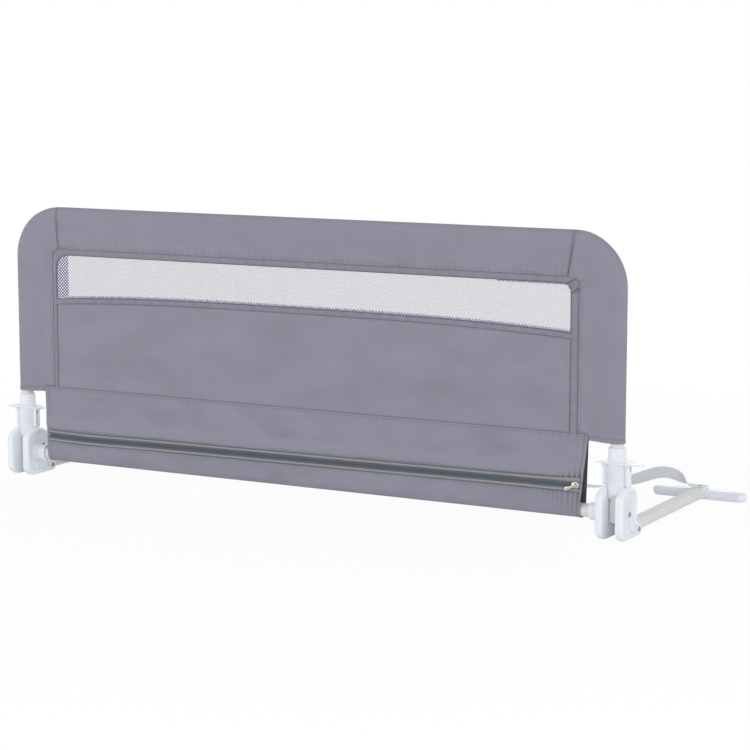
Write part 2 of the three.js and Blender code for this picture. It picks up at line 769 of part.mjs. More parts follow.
// Net: frame outline with staggered diamond gaps, kept clear of the edges
function window_net() {
  const head = window_head - fit;
  const right = net_right - fit;
  const outline = new THREE.Shape(sill_points(-window_left, right, -fit));
  outline.lineTo(right, head);
  outline.lineTo(-window_left + net_corner, head);
  outline.absarc(-window_left + net_corner, head - net_corner, net_corner, turn / 4, turn / 2, false);
  const pitch = (right + window_left) / net_columns;
  const low = window_sill + 2 * net_strand;
  const rise = (head - net_strand - low) / net_rows;
  const half_x = (pitch - net_strand) / 2;
  const half_z = rise / 2 - net_strand / 2;
  for (let row = 0; row < net_rows; row++) {
    const shift = row % 2 ? pitch : pitch / 2;
    const z = low + rise * (row + 1 / 2);
    for (let x = -window_left + shift + half_x / 2; x + half_x < right - net_strand; x += pitch) {
      if (x - half_x < -window_left + net_corner / 2 && z > head - net_corner * 2) continue;
      const gap = new THREE.Path();
      gap.moveTo(x - half_x, z);
      gap.lineTo(x, z - half_z);
      gap.lineTo(x + half_x, z);
      gap.lineTo(x, z + half_z);
      gap.closePath();
      outline.holes.push(gap);
    }
  }
  return sheet_y(outline, net_thickness);
}

function top_sleeve() {
  const half = bend_x - fit;
  const down = new THREE.Vector3(0, 0, -1);
  const ends = [-half, half].map((x) => new THREE.Vector3(x, 0, top_z));
  const outer = ends.map((at) => ring(drop_outer(top_reach), at, down));
  const inner = ends.map((at) => ring(drop_inner(top_reach), at, down));
  return shell(outer, inner);
}

function top_tube() {
  const half = bend_x - joint_reach - fit;
  const ends = [-half, half].map((x) => new THREE.Vector3(x, 0, top_z));
  const up = new THREE.Vector3(0, 0, 1);
  const outer = ends.map((at) => circle_ring(tube_radius, at, up));
  const inner = ends.map((at) => circle_ring(tube_bore, at, up));
  return shell(outer, inner);
}

function bottom_tube() {
  const half = post_x - lobe_out - fit;
  const outer = rod_x(tube_radius, -half, half, 0, pivot_height, tube_sides);
  const inner = rod_x(tube_bore, -half - overrun, half + overrun, 0, pivot_height, tube_sides);
  return cut(outer, inner);
}

// Band round the bottom tube; its ends lean in towards the bottom
function lower_band() {
  const up = new THREE.Vector3(0, 0, 1);
  const end = (section, x, taper) =>
    ring(section, new THREE.Vector3(x, 0, pivot_height), up).map((p) => {
      const share = (band_z - p.z) / band_height;
      return p.setX(x - taper * share);
    });
  const sections = [drop_outer(band_height), drop_inner(band_height)];
  const [outer, inner] = sections.map((s) => [
    end(s, -band_left, -band_left_taper),
    end(s, band_right, band_right_taper),
  ]);
  return shell(outer, inner);
}

// Zipper, in its own frame on the front of the band: X along the zip to its right end, -Y outwards
const band_lean = Math.asin((sleeve_bore + cloth - seam_half) / band_height);
const zip_right_end = band_right - zip_right_inset;
const zip_right_height = pivot_height + zip_right_rise;
const zip_length = band_left - zip_left_inset + zip_right_end;
const zip_tilt = Math.asin((zip_right_rise - zip_left_rise) / zip_length);

function zip_frame() {
  const group = new THREE.Group();
  const front = seam_half + (band_z - zip_right_height) * Math.tan(band_lean);
  group.position.set(zip_right_end, -front, zip_right_height);
  group.rotation.set(-band_lean, -zip_tilt, 0);
  return group;
}

function zip_tape(side) {
  const near = coil_width / 2 + fit;
  const z0 = side > 0 ? near : -near - tape_width;
  return block(-zip_length, 0, -fit - tape_thickness, -fit, z0, z0 + tape_width);
}

function zip_coil() {
  const half = coil_width / 2;
  const outline = new THREE.Shape();
  outline.moveTo(-fit, -half);
  outline.lineTo(-fit, half);
  outline.lineTo(-fit - coil_height * coil_shoulder_share, half);
  outline.lineTo(-fit - coil_height, half / 2);
  outline.lineTo(-fit - coil_height, -half / 2);
  outline.lineTo(-fit - coil_height * coil_shoulder_share, -half);
  return sheet_x(outline, -zip_length, 0);
}

const slider_under = fit + coil_height + fit;
const slider_top = slider_under + slider_plate;
const bridge_axis = slider_top + pull_thickness / 2 + fit;

// Slider: channel over the coil with a bridge on top for the pull
function zip_slider() {
  const half_x = slider_length / 2;
  const half_z = slider_width / 2;
  const skirt = fit + tape_thickness + fit;
  const body = block(-half_x, half_x, -slider_top, -skirt, -half_z, half_z);
  const channel_half = coil_width / 2 + fit;
  const channel = block(-half_x - fit, half_x + fit, -slider_under, 0, -channel_half, channel_half);
  const bridge_half = bridge_length / 2;
  const z = bridge_width / 2;
  const bridge = block(-bridge_half, bridge_half, -slider_top - bridge_height, -slider_top + fit, -z, z);
  const eye_half = bridge_half - bridge_wire;
  const eye = block(-eye_half, eye_half, -slider_top - bridge_height + bridge_wire, -slider_top, -half_z, half_z);
  return joined(cut(body, channel), cut(bridge, eye));
}

// Pull: a cross bar through the bridge, two arms and a tab, lying to the left
function zip_pull() {
  const half_t = pull_thickness / 2;
  const half_w = pull_width / 2;
  const plate = block(-pull_length, half_t, -half_t, half_t, -half_w, half_w);
  const arm = pull_width * arm_share;
  const eye = block(-pull_eye, -half_t, -pull_thickness, pull_thickness, -half_w + arm, half_w - arm);
  const tip_hole = rod_z(arm, -pull_thickness, pull_thickness, hole_sides);
  tip_hole.rotateX(turn / 4).translate(-pull_length + half_w, 0, 0);
  return cut(plate, eye, tip_hole);
}

// Assembly; the floor point under the middle of the footprint is the origin
const rail = new THREE.Group();
rail.position.y = -(foot_back - lobe_front) / 2;

function add_side(side) {
  const mirror = new THREE.Group();
  mirror.scale.x = side === "left" ? -1 : 1;
  rail.add(mirror);
  const clamp = new THREE.Group();
  clamp.position.x = post_x;
  mirror.add(clamp);
  const boss_floor = -lobe_out - fit;
  const seat = rivet_seat + fit;
  piece(clamp, side + "_inner_lobe", inner_lobe(), "plastic");
  piece(clamp, side + "_outer_lobe", outer_lobe(), "plastic");
  piece(clamp, side + "_pivot_rivet", rivet(pivot_rivet_diameter, boss_floor, seat, 0, pivot_height), "steel");
  piece(clamp, side + "_leg_rivet", rivet(leg_rivet_diameter, -seat, seat, leg_pivot_back, leg_z), "steel");
  const grub_from = tube_radius + fit;
  piece(clamp, side + "_tube_screw", grub(grub_diameter / 2, grub_from, boss_diameter / 2), "steel");
  piece(clamp, side + "_post_plug", post_plug(), "plastic");
  piece(clamp, side + "_latch_sleeve", latch_sleeve(), "plastic");
  piece(clamp, side + "_stop_ring", stop_ring(), "steel");
  piece(clamp, side + "_latch_spring", latch_spring(), "steel");
  piece(clamp, side + "_leg_tube", leg_tube(), "leg");
  piece(clamp, side + "_foot", foot(), "plastic");
  piece(clamp, side + "_foot_pin", foot_pin(pin_diameter / 2, hub_width / 2), "steel");
  piece(clamp, side + "_strap_rivet", strap_rivet(), "plastic");
  piece(mirror, side + "_corner_tube", corner_tube(), "tube");
  piece(mirror, side + "_side_sleeve", side_sleeve(side === "left" ? band_left : band_right), "cloth");
}

add_side("left");
add_side("right");
piece(rail, "bottom_tube", bottom_tube(), "tube");
piece(rail, "top_tube", top_tube(), "tube");
piece(rail, "top_sleeve", top_sleeve(), "cloth");
piece(rail, "centre_panel", centre_panel(), "cloth");
piece(rail, "window_net", window_net(), "net");
piece(rail, "top_binding", top_binding(), "binding");
piece(rail, "bottom_binding", bottom_binding(), "binding");
piece(rail, "right_binding", right_binding(), "binding");
piece(rail, "lower_band", lower_band(), "cloth");
piece(rail, "strap", strap(), "webbing");

const zip = zip_frame();
rail.add(zip);
piece(zip, "zip_tape_upper", zip_tape(1), "tape");
piece(zip, "zip_tape_lower", zip_tape(-1), "tape");
piece(zip, "zip_coil", zip_coil(), "coil");
const slider = new THREE.Group();
slider.position.x = -slider_place;
zip.add(slider);
piece(slider, "zip_slider", zip_slider(), "steel");
const pull = new THREE.Group();
pull.position.y = -bridge_axis;
pull.rotation.y = (-pull_droop * turn) / 360;
slider.add(pull);
piece(pull, "zip_pull", zip_pull(), "brass");

const group = new THREE.Group();
group.add(rail);
export default group;
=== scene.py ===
"""Dresses the folding bed guard rail: tubes, clamps, latches, legs, strap, cloth cover and zipper."""
import bisect
import itertools
import math

import bmesh
import bpy
from bpy.props import FloatProperty, FloatVectorProperty, IntProperty, PointerProperty
from mathutils import Euler, Matrix, Vector, noise


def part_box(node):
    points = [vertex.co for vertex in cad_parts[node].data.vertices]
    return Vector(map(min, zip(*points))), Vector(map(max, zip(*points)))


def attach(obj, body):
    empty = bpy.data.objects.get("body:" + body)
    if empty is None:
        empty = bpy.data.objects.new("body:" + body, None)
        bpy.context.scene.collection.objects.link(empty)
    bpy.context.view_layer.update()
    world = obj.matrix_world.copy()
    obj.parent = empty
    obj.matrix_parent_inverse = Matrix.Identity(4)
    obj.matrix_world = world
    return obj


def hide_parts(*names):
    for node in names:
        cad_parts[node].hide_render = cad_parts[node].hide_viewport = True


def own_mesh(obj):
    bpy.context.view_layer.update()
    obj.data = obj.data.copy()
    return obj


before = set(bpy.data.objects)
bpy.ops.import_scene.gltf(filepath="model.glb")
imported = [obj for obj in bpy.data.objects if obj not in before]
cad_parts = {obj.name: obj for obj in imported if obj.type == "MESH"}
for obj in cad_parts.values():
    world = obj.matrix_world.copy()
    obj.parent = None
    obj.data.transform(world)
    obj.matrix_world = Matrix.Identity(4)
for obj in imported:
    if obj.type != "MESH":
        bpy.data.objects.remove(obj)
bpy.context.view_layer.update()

bl_info = {
    "name": "Folding bed guard rail",
    "version": (1, 0, 0),
    "blender": (4, 5, 0),
    "location": "View3D > Sidebar > Guard rail",
    "description": "Builds the cloth, plastic and metal pieces of a folding bed guard rail",
    "category": "Object",
}

# Sizes of the frame, in millimetres: X along the rail, Y back from the pivot, Z up from the floor
MM = 0.001
TURN = math.tau
pivot_low, pivot_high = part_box("bottom_tube")
PIVOT_Y = (pivot_low.y + pivot_high.y) / 2
TO_FRAME = Matrix.Translation((0, PIVOT_Y, 0)) @ Matrix.Scale(MM, 4)

POST_X = 580.0
PIVOT_Z = 41.0
TOP_Z = 476.4
BEND_X = 502.0
BEND_Z = 398.4
BEND_RADIUS = 78.0
JOINT_X = 442.0
POST_LOW = 26.8
TUBE_RADIUS = 11.0
TUBE_BORE = 9.8
TUBE_END = 555.7
LOBE_NEAR = 11.3
LOBE_FAR = 24.0
RIVET_SEAT = 22.5
LEG_Y = 42.0
LEG_Z = 10.05
LEG_HALF = (10.0, 8.25)
LEG_END = 376.5
FOOT_Y = 372.5
SLEEVE_BORE = 11.3
NECK_LOW = 66.0
BAR_LOW = 86.5
WING_LOW = 122.0
WING_TOP = 125.0
COLLAR_TOP = 147.0
SPRING_LOW = 91.8
SPRING_TOP = 114.4
SKIRT_Z = 154.0
BAND_Z = 163.0
BAND_LEFT = -538.5
BAND_RIGHT = 530.5
BAND_LEFT_TAPER = 12.0
BAND_RIGHT_TAPER = 8.5
SIDE_REACH = {1: 68.0, -1: 62.6}
SEAM_RIGHT = 511.7
SEAM_LEFT = -517.1
# The binding is sewn this far over the cloth beside it
SEAM_LAP = 0.5
TOP_REACH = 61.4
TOP_SEAM_Z = 415.0
HEAD_Z = 403.0
WINDOW_RIGHT = 496.7
WINDOW_LEFT = -508.1
SILL_BINDING = 11.5
CLOTH_RADIUS = 12.6
SEAM_HALF = 1.2
# Rows of stitches, measured from the sewn edge of their cloth
SIDE_STITCH = 3.6
TOP_STITCH = 3.4
BAND_STITCH = 3.2
ZIP_RIGHT = (521.0, 81.5)
ZIP_LEFT = (-527.0, 74.5)
SIDES = ((1, "right"), (-1, "left"))


def srgb(red, green, blue):
    """Linear colour of three values from 0 to 255."""
    return tuple(((c / 255 + 0.055) / 1.055) ** 2.4 for c in (red, green, blue))


def mm(length):
    return length / MM


# What a user may change
def length_of(name, description, default, low):
    return FloatProperty(
        name=name, description=description, default=default, min=low, unit="LENGTH", subtype="DISTANCE"
    )


def colour_of(name, description, *shade):
    return FloatVectorProperty(
        name=name, description=description, default=srgb(*shade), min=0, max=1, subtype="COLOR"
    )


class RailSizes(bpy.types.PropertyGroup):
    """Sizes of the finish"""

    thread: length_of("Cloth thread", "Distance from thread to thread in the cloth", 0.0009, 0.0003)
    pucker: length_of("Pucker", "Height of the puckers beside a seam", 0.0007, 0.0)
    cloth: length_of("Cloth thickness", "Thickness of one layer of cloth", 0.0009, 0.0003)
    net_pitch: length_of("Net pitch", "Width of one gap in the window net", 0.0044, 0.002)
    net_strand: length_of("Net strand", "Width of a strand of the window net", 0.001, 0.0003)
    stitch: length_of("Stitch length", "Length of one stitch that shows", 0.0025, 0.001)
    stitch_pitch: length_of("Stitch pitch", "Distance from stitch to stitch", 0.0034, 0.0015)
    lobe_rounding: length_of("Lobe rounding", "Rounding round a clamp lobe", 0.0044, 0.001)
    tooth_pitch: length_of("Zip tooth pitch", "Distance from turn to turn of the zip coil", 0.0015, 0.001)
    tube_sides: IntProperty(name="Tube sides", description="Faces round a tube", default=40, min=16, max=64)


class RailColours(bpy.types.PropertyGroup):
    """Colours of the finishes"""

    cloth: colour_of("Cloth", "Woven cover", 145, 142, 155)
    binding: colour_of("Binding", "Strips sewn round the window", 136, 134, 145)
    thread: colour_of("Thread", "Sewing thread", 84, 82, 94)
    net: colour_of("Net", "Window net", 201, 200, 208)
    net_edge: colour_of("Net edge", "Doubled edges of the window net", 76, 80, 134)
    webbing: colour_of("Webbing", "Strap between the feet", 240, 242, 246)
    plastic: colour_of("Plastic", "Moulded clamps, latches and feet", 232, 235, 241)
    tube: colour_of("Tube", "Powder coat of the frame tubes", 228, 227, 223)
    leg: colour_of("Leg", "Powder coat of the legs", 226, 227, 222)
    steel: colour_of("Steel", "Plated rivets, pins and springs", 160, 165, 172)
    tape: colour_of("Zip tape edge", "Sewn edges of the zipper's tapes", 144, 146, 146)
    coil: colour_of("Zip coil", "Nylon coil and the inner tape", 91, 97, 104)
    zip_metal: colour_of("Zip metal", "Slider and pull", 206, 198, 188)


def sizes():
    return bpy.context.scene.rail_sizes


def colours():
    return bpy.context.scene.rail_colours


# Materials
def lay(tree, kind, inputs=None, **settings):
    """Adds a shader node; an input takes a value or the output of another node."""
    laid = tree.nodes.new("ShaderNode" + kind)
    for name, value in settings.items():
        setattr(laid, name, value)
    for name, value in (inputs or {}).items():
        if isinstance(value, bpy.types.NodeSocket):
            tree.links.new(value, laid.inputs[name])
        else:
            laid.inputs[name].default_value = value
    return laid


def reckon(tree, operation, *values):
    return lay(tree, "Math", dict(enumerate(values)), operation=operation).outputs[0]


def mixed_sum(tree, *shares):
    """Adds outputs, each with its own weight."""
    total = 0.0
    for output, weight in shares:
        total = reckon(tree, "MULTIPLY_ADD", output, weight, total)
    return total


def stretched(tree, value, low, high, to_low=0.0, to_high=1.0):
    limits = {"Value": value, "From Min": low, "From Max": high, "To Min": to_low, "To Max": to_high}
    return lay(tree, "MapRange", limits).outputs[0]


def place_on(tree):
    return lay(tree, "TexCoord").outputs["Object"]


def weave_on(tree):
    """Lengths across and along the cloth."""
    return lay(tree, "SeparateXYZ", {0: lay(tree, "UVMap", uv_map="Weave").outputs[0]}).outputs


def blotches(tree, place, scale, detail=3.0):
    """Soft noise from 0 to 1, in cells per metre."""
    return lay(tree, "TexNoise", {"Vector": place, "Scale": scale, "Detail": detail}).outputs[0]


def ripple(tree, length, pitch):
    """Wave from -1 to 1 that repeats at a pitch in metres."""
    return reckon(tree, "SINE", reckon(tree, "MULTIPLY", length, TURN / pitch))


def blend(tree, share, first, second):
    shades = {0: share, 6: first, 7: second}
    return lay(tree, "Mix", shades, data_type="RGBA", clamp_factor=True).outputs[2]


def tinted(tree, share, colour, dark, light):
    """Colour that runs from a darker to a lighter shade of itself."""
    shades = [tuple(min(1, c * f) for c in colour) + (1,) for f in (dark, light)]
    return blend(tree, share, *shades)


def finish(name, **sockets):
    """A material with its plain values set on the shader, its node tree and its shader."""
    made = bpy.data.materials.new(name)
    made.use_nodes = True
    shader = made.node_tree.nodes["Principled BSDF"]
    for socket, value in sockets.items():
        shader.inputs[socket.replace("_", " ")].default_value = value
    return made, made.node_tree, shader


def dressed(made, shade, height, relief):
    """Joins a colour and a surface height to a finish, and gives its material back."""
    material, tree, shader = made
    tree.links.new(shade, shader.inputs["Base Color"])
    bump = lay(tree, "Bump", {"Height": height, "Distance": relief, "Strength": 1.0})
    tree.links.new(bump.outputs[0], shader.inputs["Normal"])
    return material


def shaded(colour, share):
    return tuple(c * share for c in colour)


def painted_shading_on(tree):
    """Painted shading from the mesh: darker where a place lies in a fold, groove or recess, lighter where it
    stands out.
    """
    return lay(tree, "Attribute", attribute_name="painted_shading").outputs["Fac"]


# What woven pieces have in common: the sheen, and noise as fine as the fibres, in cells per metre
SHEEN = {"Sheen_Weight": 0.1, "Sheen_Roughness": 0.5}
FIBRES = 420.0


def woven(name, colour, pitch, relief, mottle=1.0):
    """Plain weave that follows the piece's own lengths: slubs both ways, soft mottling, painted shade in the
    folds and painted highlight where the cloth stands out.
    """
    made = finish(name, Roughness=0.88, Specular_IOR_Level=0.25, **SHEEN)
    tree = made[1]
    weave = lay(tree, "UVMap", uv_map="Weave").outputs[0]
    across, along = weave_on(tree)[:2]
    knots = reckon(tree, "MULTIPLY", ripple(tree, across, pitch), ripple(tree, along, pitch))
    upright, level = [
        blotches(tree, lay(tree, "Mapping", {"Vector": weave, "Scale": scale}).outputs[0], FIBRES)
        for scale in ((1, 0.05, 1), (0.05, 1, 1))
    ]
    cloud = blotches(tree, place_on(tree), 9.0, 4.0)
    share = mixed_sum(tree, (knots, 0.1), (upright, 0.55), (level, 0.35), (cloud, 0.6))
    # Painted shading: the colour darkens in folds and grooves and lightens on ridges
    share = mixed_sum(tree, (painted_shading_on(tree), 0.6 / mottle), (share, 1.0))
    shade = tinted(tree, share, colour, 1 - 0.12 * mottle, 1 + 0.08 * mottle)
    return dressed(made, shade, mixed_sum(tree, (knots, 0.5), (upright, 0.5), (level, 0.4)), relief)


def webbing():
    """Strap webbing: herringbone ribs across its length and fine cords along it."""
    made = finish("strap_webbing", Roughness=0.8, Specular_IOR_Level=0.3, **SHEEN)
    tree = made[1]
    across, along = weave_on(tree)[:2]
    cords = ripple(tree, across, 0.0026)
    # Every second cord shifts the ribs, as in a herringbone
    ribs = ripple(tree, mixed_sum(tree, (cords, 0.00046), (along, 1.0)), 0.0021)
    cloud = blotches(tree, place_on(tree), 40.0, 4.0)
    share = mixed_sum(tree, (ribs, 0.3), (cords, 0.1), (cloud, 1.0))
    shade = tinted(tree, share, colours().webbing, 0.94, 1.05)
    return dressed(made, shade, mixed_sum(tree, (ribs, 0.6), (cords, 0.4)), 0.00018)


def zip_tape():
    """Zip tape: dark ribs beside the coil and a paler sewn edge."""
    made = finish("zip_tape", Roughness=0.82, Specular_IOR_Level=0.3, **SHEEN)
    tree = made[1]
    across, along = weave_on(tree)[:2]
    ribs = ripple(tree, along, 0.0016)
    fluff = blotches(tree, place_on(tree), FIBRES, 4.0)
    share = mixed_sum(tree, (ribs, 0.25), (fluff, 1.0))
    inner = tinted(tree, share, colours().coil, 0.8, 1.35)
    edge = tinted(tree, share, colours().tape, 0.82, 1.15)
    shade = blend(tree, stretched(tree, across, 0.0038, 0.0045), inner, edge)
    return dressed(made, shade, mixed_sum(tree, (ribs, 0.6), (fluff, 0.6)), 0.0002)


def grained(name, colour, grain, relief, spread=0.03, rough=(0.4, 0.5), **sockets):
    """Moulded or coated surface: fine grain, slow colour drift, painted shade in recesses and patches of
    handling wear.
    """
    made = finish(name, **sockets)
    tree = made[1]
    place = place_on(tree)
    fine = blotches(tree, place, grain, 2.0)
    slow = blotches(tree, place, 22.0)
    # Painted shade: the colour darkens in recesses
    share = mixed_sum(tree, (slow, 0.4), (painted_shading_on(tree), 0.5), (0.55, 1.0))
    worn = stretched(tree, blotches(tree, place, 60.0, 5.0), 0.35, 0.7, *rough)
    tree.links.new(worn, made[2].inputs["Roughness"])
    shade = tinted(tree, share, colour, 0.9 - spread, 1 + spread)
    return dressed(made, shade, mixed_sum(tree, (fine, 1.0), (slow, 0.5)), relief)


def strand(name, colour, pitch, relief):
    """Twisted thread, with slanting plies."""
    made = finish(name, Roughness=0.7, Specular_IOR_Level=0.35)
    tree = made[1]
    place = place_on(tree)
    parts = lay(tree, "SeparateXYZ", {0: place}).outputs
    plies = ripple(tree, mixed_sum(tree, (parts[0], 1.0), (parts[2], 1.6)), pitch)
    fuzz = blotches(tree, place, 1500.0, 2.0)
    shade = tinted(tree, mixed_sum(tree, (plies, 0.3), (fuzz, 1.0)), colour, 0.9, 1.1)
    return dressed(made, shade, mixed_sum(tree, (plies, 1.0), (fuzz, 1.0)), relief)


def plated(name, colour, low, high):
    """Metal with a faint tarnish and fine scratches."""
    made = finish(name, Metallic=1.0)
    tree = made[1]
    place = place_on(tree)
    drawn = lay(tree, "Mapping", {"Vector": place, "Scale": (1.0, 1.0, 9.0)}).outputs[0]
    scratches = blotches(tree, drawn, 700.0)
    tree.links.new(stretched(tree, scratches, 0.3, 0.7, low, high), made[2].inputs["Roughness"])
    shade = tinted(tree, blotches(tree, place, 260.0, 4.0), colour, 0.86, 1.1)
    return dressed(made, shade, scratches, 0.00003)


def moulded(name, colour, spread, rough):
    """Plastic that lets a little light through, and glows faintly: painted light that lightens its shaded
    sides.
    """
    # The faint emission is painted light that fills the shade between the lobes
    return grained(
        name, colour, 1300.0, 0.00003, spread, rough, Subsurface_Weight=0.35, Subsurface_Scale=0.01,
        Subsurface_Radius=(1.0, 1.0, 1.0), Emission_Color=(0.84, 0.88, 0.94, 1.0), Emission_Strength=0.06,
    )


def coated(name, colour, coat):
    """Powder coat, a little uneven under a thin gloss."""
    gloss = {"Specular_IOR_Level": 0.3, "Coat_Weight": coat, "Coat_Roughness": 0.4}
    return grained(name, colour, 1100.0, 0.00005, 0.02, (0.6, 0.7), **gloss)


FINISHES = {
    "cloth": lambda: woven("woven_cover", colours().cloth, sizes().thread, 0.00012),
    # The inside of the cover is a darker copy of the cloth: painted shade inside the sleeves
    "painted_shade_inside": lambda: woven("cover_inside_painted_shade", shaded(colours().cloth, 0.42), sizes().thread, 0.0001),
    "binding": lambda: woven("binding_tape", colours().binding, sizes().thread * 0.8, 0.00012, 1.6),
    "net": lambda: strand("net_strands", colours().net, 0.0007, 0.00004),
    "net_edge": lambda: strand("net_edge_strands", colours().net_edge, 0.0007, 0.00004),
    "stitch": lambda: strand("sewing_thread", colours().thread, 0.0006, 0.00006),
    "tape_stitch": lambda: strand("zip_sewing_thread", shaded(colours().tape, 1.8), 0.0006, 0.00006),
    "webbing": webbing,
    "tape": zip_tape,
    "coil": lambda: grained("zip_coil_nylon", colours().coil, 1500.0, 0.00004, 0.1, (0.4, 0.55)),
    "zip_metal": lambda: plated("zip_slider_metal", colours().zip_metal, 0.26, 0.42),
    "zip_dark": lambda: plated("zip_slider_shadow", srgb(112, 82, 72), 0.35, 0.5),
    "steel": lambda: plated("plated_steel", colours().steel, 0.28, 0.42),
    "plastic": lambda: moulded("moulded_plastic", colours().plastic, 0.02, (0.38, 0.48)),
    "plug": lambda: moulded("plug_plastic", srgb(150, 156, 164), 0.04, (0.45, 0.55)),
    # Dark plastic that stands for the shade in slots and sockets: painted shade
    "hollow": lambda: moulded("shaded_hollow", srgb(96, 104, 114), 0.1, (0.6, 0.7)),
    "tube": lambda: coated("tube_powder_coat", colours().tube, 0.06),
    "leg": lambda: coated("leg_powder_coat", colours().leg, 0.03),
}
made_finishes = {}


def finish_of(kind):
    """Makes a finish when a piece first asks for it."""
    if kind not in made_finishes:
        made_finishes[kind] = FINISHES[kind]()
    return made_finishes[kind]


# Modelling helpers; every shape is made in millimetres and placed in the frame at the end
def spread(low, high, steps):
    """Evenly spaced values, both ends among them."""
    return [low + (high - low) * i / steps for i in range(steps + 1)]


def eased(share):
    """Runs smoothly from 0 to 1."""
    share = min(1.0, max(0.0, share))
    return share * share * (3 - 2 * share)


def hump(distance, width):
    return math.exp(-((distance / width) ** 2))


# The third layer is painted shading: finishes darken or lighten their colour by it
LAYERS = ("across", "along", "painted_shading")


def new_mesh():
    mesh = bmesh.new()
    for layer in LAYERS:
        mesh.verts.layers.float.new(layer)
    return mesh


def layers_of(mesh):
    """Length across, length along and painted shading of a mesh's vertices."""
    return [mesh.verts.layers.float[layer] for layer in LAYERS]


def grow(mesh, row, rings, closed=True):
    """Extrudes a row of vertices through rows of places."""
    rows = [row]
    pairs = zip(row, row[1:] + (row[:1] if closed else []))
    edges = [mesh.edges.get(pair) or mesh.edges.new(pair) for pair in pairs]
    for places in rings:
        grown = bmesh.ops.extrude_edge_only(mesh, edges=edges)["geom"]
        fresh = {v for v in grown if isinstance(v, bmesh.types.BMVert)}
        row = [next(e.other_vert(v) for e in v.link_edges if e.other_vert(v) in fresh) for v in rows[-1]]
        for vert, place in zip(row, places):
            vert.co = place
        edges = [e for e in grown if isinstance(e, bmesh.types.BMEdge) and fresh.issuperset(e.verts)]
        rows.append(row)
    return rows


def loft(mesh, rings, closed=True, capped=False):
    """Lofts through rows of places, and keeps the lengths across and along for the weave."""
    side, length, _ = layers_of(mesh)
    rows = grow(mesh, [mesh.verts.new(p) for p in rings[0]], rings[1:], closed)
    walked = 0.0
    for i, row in enumerate(rows):
        if i:
            walked += sum((v.co - u.co).length for v, u in zip(row, rows[i - 1])) / len(row)
        reached = 0.0
        for k, vert in enumerate(row):
            if k:
                reached += (vert.co - row[k - 1].co).length
            vert[side] = reached
            vert[length] = walked
    if capped:
        mesh.faces.new(rows[0])
        mesh.faces.new(rows[-1])
    return rows


def drape(mesh, rows, closed=True, capped=False):
    """Lofts through rows of (place, shade) pairs; finishes paint the shade into their colour as painted
    shading.
    """
    made = loft(mesh, [[place for place, _ in row] for row in rows], closed, capped)
    painted_shading = layers_of(mesh)[2]
    for verts, row in zip(made, rows):
        for vert, (_, shade) in zip(verts, row):
            vert[painted_shading] = shade
    return made


def make_piece(
    name, mesh, kind, body, nodes=(), slot="", crisp=35.0, wall=0.0, middle=False, inner="", weld=0.005
):
    """Turns a modelled shape into a piece that rides on a body of the frame."""
    bmesh.ops.remove_doubles(mesh, verts=mesh.verts, dist=weld)
    bmesh.ops.recalc_face_normals(mesh, faces=mesh.faces)
    side, length, _ = layers_of(mesh)
    weave = mesh.loops.layers.uv.new("Weave")
    for face in mesh.faces:
        for corner in face.loops:
            corner[weave].uv = (corner.vert[side] * MM, corner.vert[length] * MM)
    bmesh.ops.transform(mesh, matrix=TO_FRAME, verts=mesh.verts)
    data = bpy.data.meshes.new(name)
    mesh.to_mesh(data)
    mesh.free()
    data.materials.append(finish_of(kind))
    if inner:
        data.materials.append(finish_of(inner))
    data.shade_smooth()
    data.set_sharp_from_angle(angle=math.radians(crisp))
    piece = bpy.data.objects.new(name, data)
    bpy.context.scene.collection.objects.link(piece)
    if wall:
        solidify = piece.modifiers.new("Wall", "SOLIDIFY")
        solidify.thickness = wall * MM
        solidify.offset = 0 if middle else -1
        solidify.material_offset = 1 if inner else 0
    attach(piece, body)
    if nodes:
        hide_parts(*nodes)
    return piece


def to_side(mesh, side):
    """Moves what was made about the post axis to the right or, mirrored, to the left post."""
    bmesh.ops.translate(mesh, verts=mesh.verts, vec=(POST_X, 0, 0))
    bmesh.ops.scale(mesh, verts=mesh.verts, vec=(side, 1, 1))


def on_posts(body, pieces):
    """Makes each piece about the right post's axis and again, mirrored, about the left one's."""
    for side, name in SIDES:
        for piece, build, kind, node, slot, crisp in pieces:
            mesh = new_mesh()
            build(mesh)
            to_side(mesh, side)
            nodes = [f"{name}_{node}"] if node else []
            make_piece(f"{name}_{piece}", mesh, kind, body.format(name), nodes, slot, crisp)


def circle(radius, steps, start=0.0, end=TURN):
    """Points round a circle; a part of one has both its ends."""
    angles = spread(start, end, steps)
    if end - start >= TURN - 1e-6:
        angles.pop()
    return [(radius * math.cos(a), radius * math.sin(a)) for a in angles]


def turned(mesh, profile, centre, axis, steps=40):
    """Spins a profile of (radius, height) pairs into a solid or, where it closes on itself, a sleeve."""
    axis = Vector(axis)
    across = axis.orthogonal().normalized()
    centre = Vector(centre)
    row = [mesh.verts.new(centre + across * r + axis * h) for r, h in profile]
    solid = profile[0][0] == 0 and profile[-1][0] == 0
    edges = [mesh.edges.new(pair) for pair in zip(row, row[1:] + ([] if solid else row[:1]))]
    others = set(mesh.verts).difference(row)
    bmesh.ops.spin(mesh, geom=row + edges, cent=centre, axis=axis, angle=TURN, steps=steps, use_merge=True)
    bmesh.ops.remove_doubles(mesh, verts=[v for v in mesh.verts if v not in others], dist=0.002)


def rounded_box(mesh, size, centre, radius, segments=3):
    """Box with rounded edges."""
    made = bmesh.ops.create_cube(mesh, size=1.0)["verts"]
    bmesh.ops.scale(mesh, verts=made, vec=size)
    edges = list({e for v in made for e in v.link_edges})
    bevelled = bmesh.ops.bevel(
        mesh, geom=edges, offset=radius, segments=segments, profile=0.5, affect="EDGES", material=-1
    )
    made = list({v for start in bevelled["verts"] for f in start.link_faces for v in f.verts})
    bmesh.ops.translate(mesh, verts=made, vec=centre)


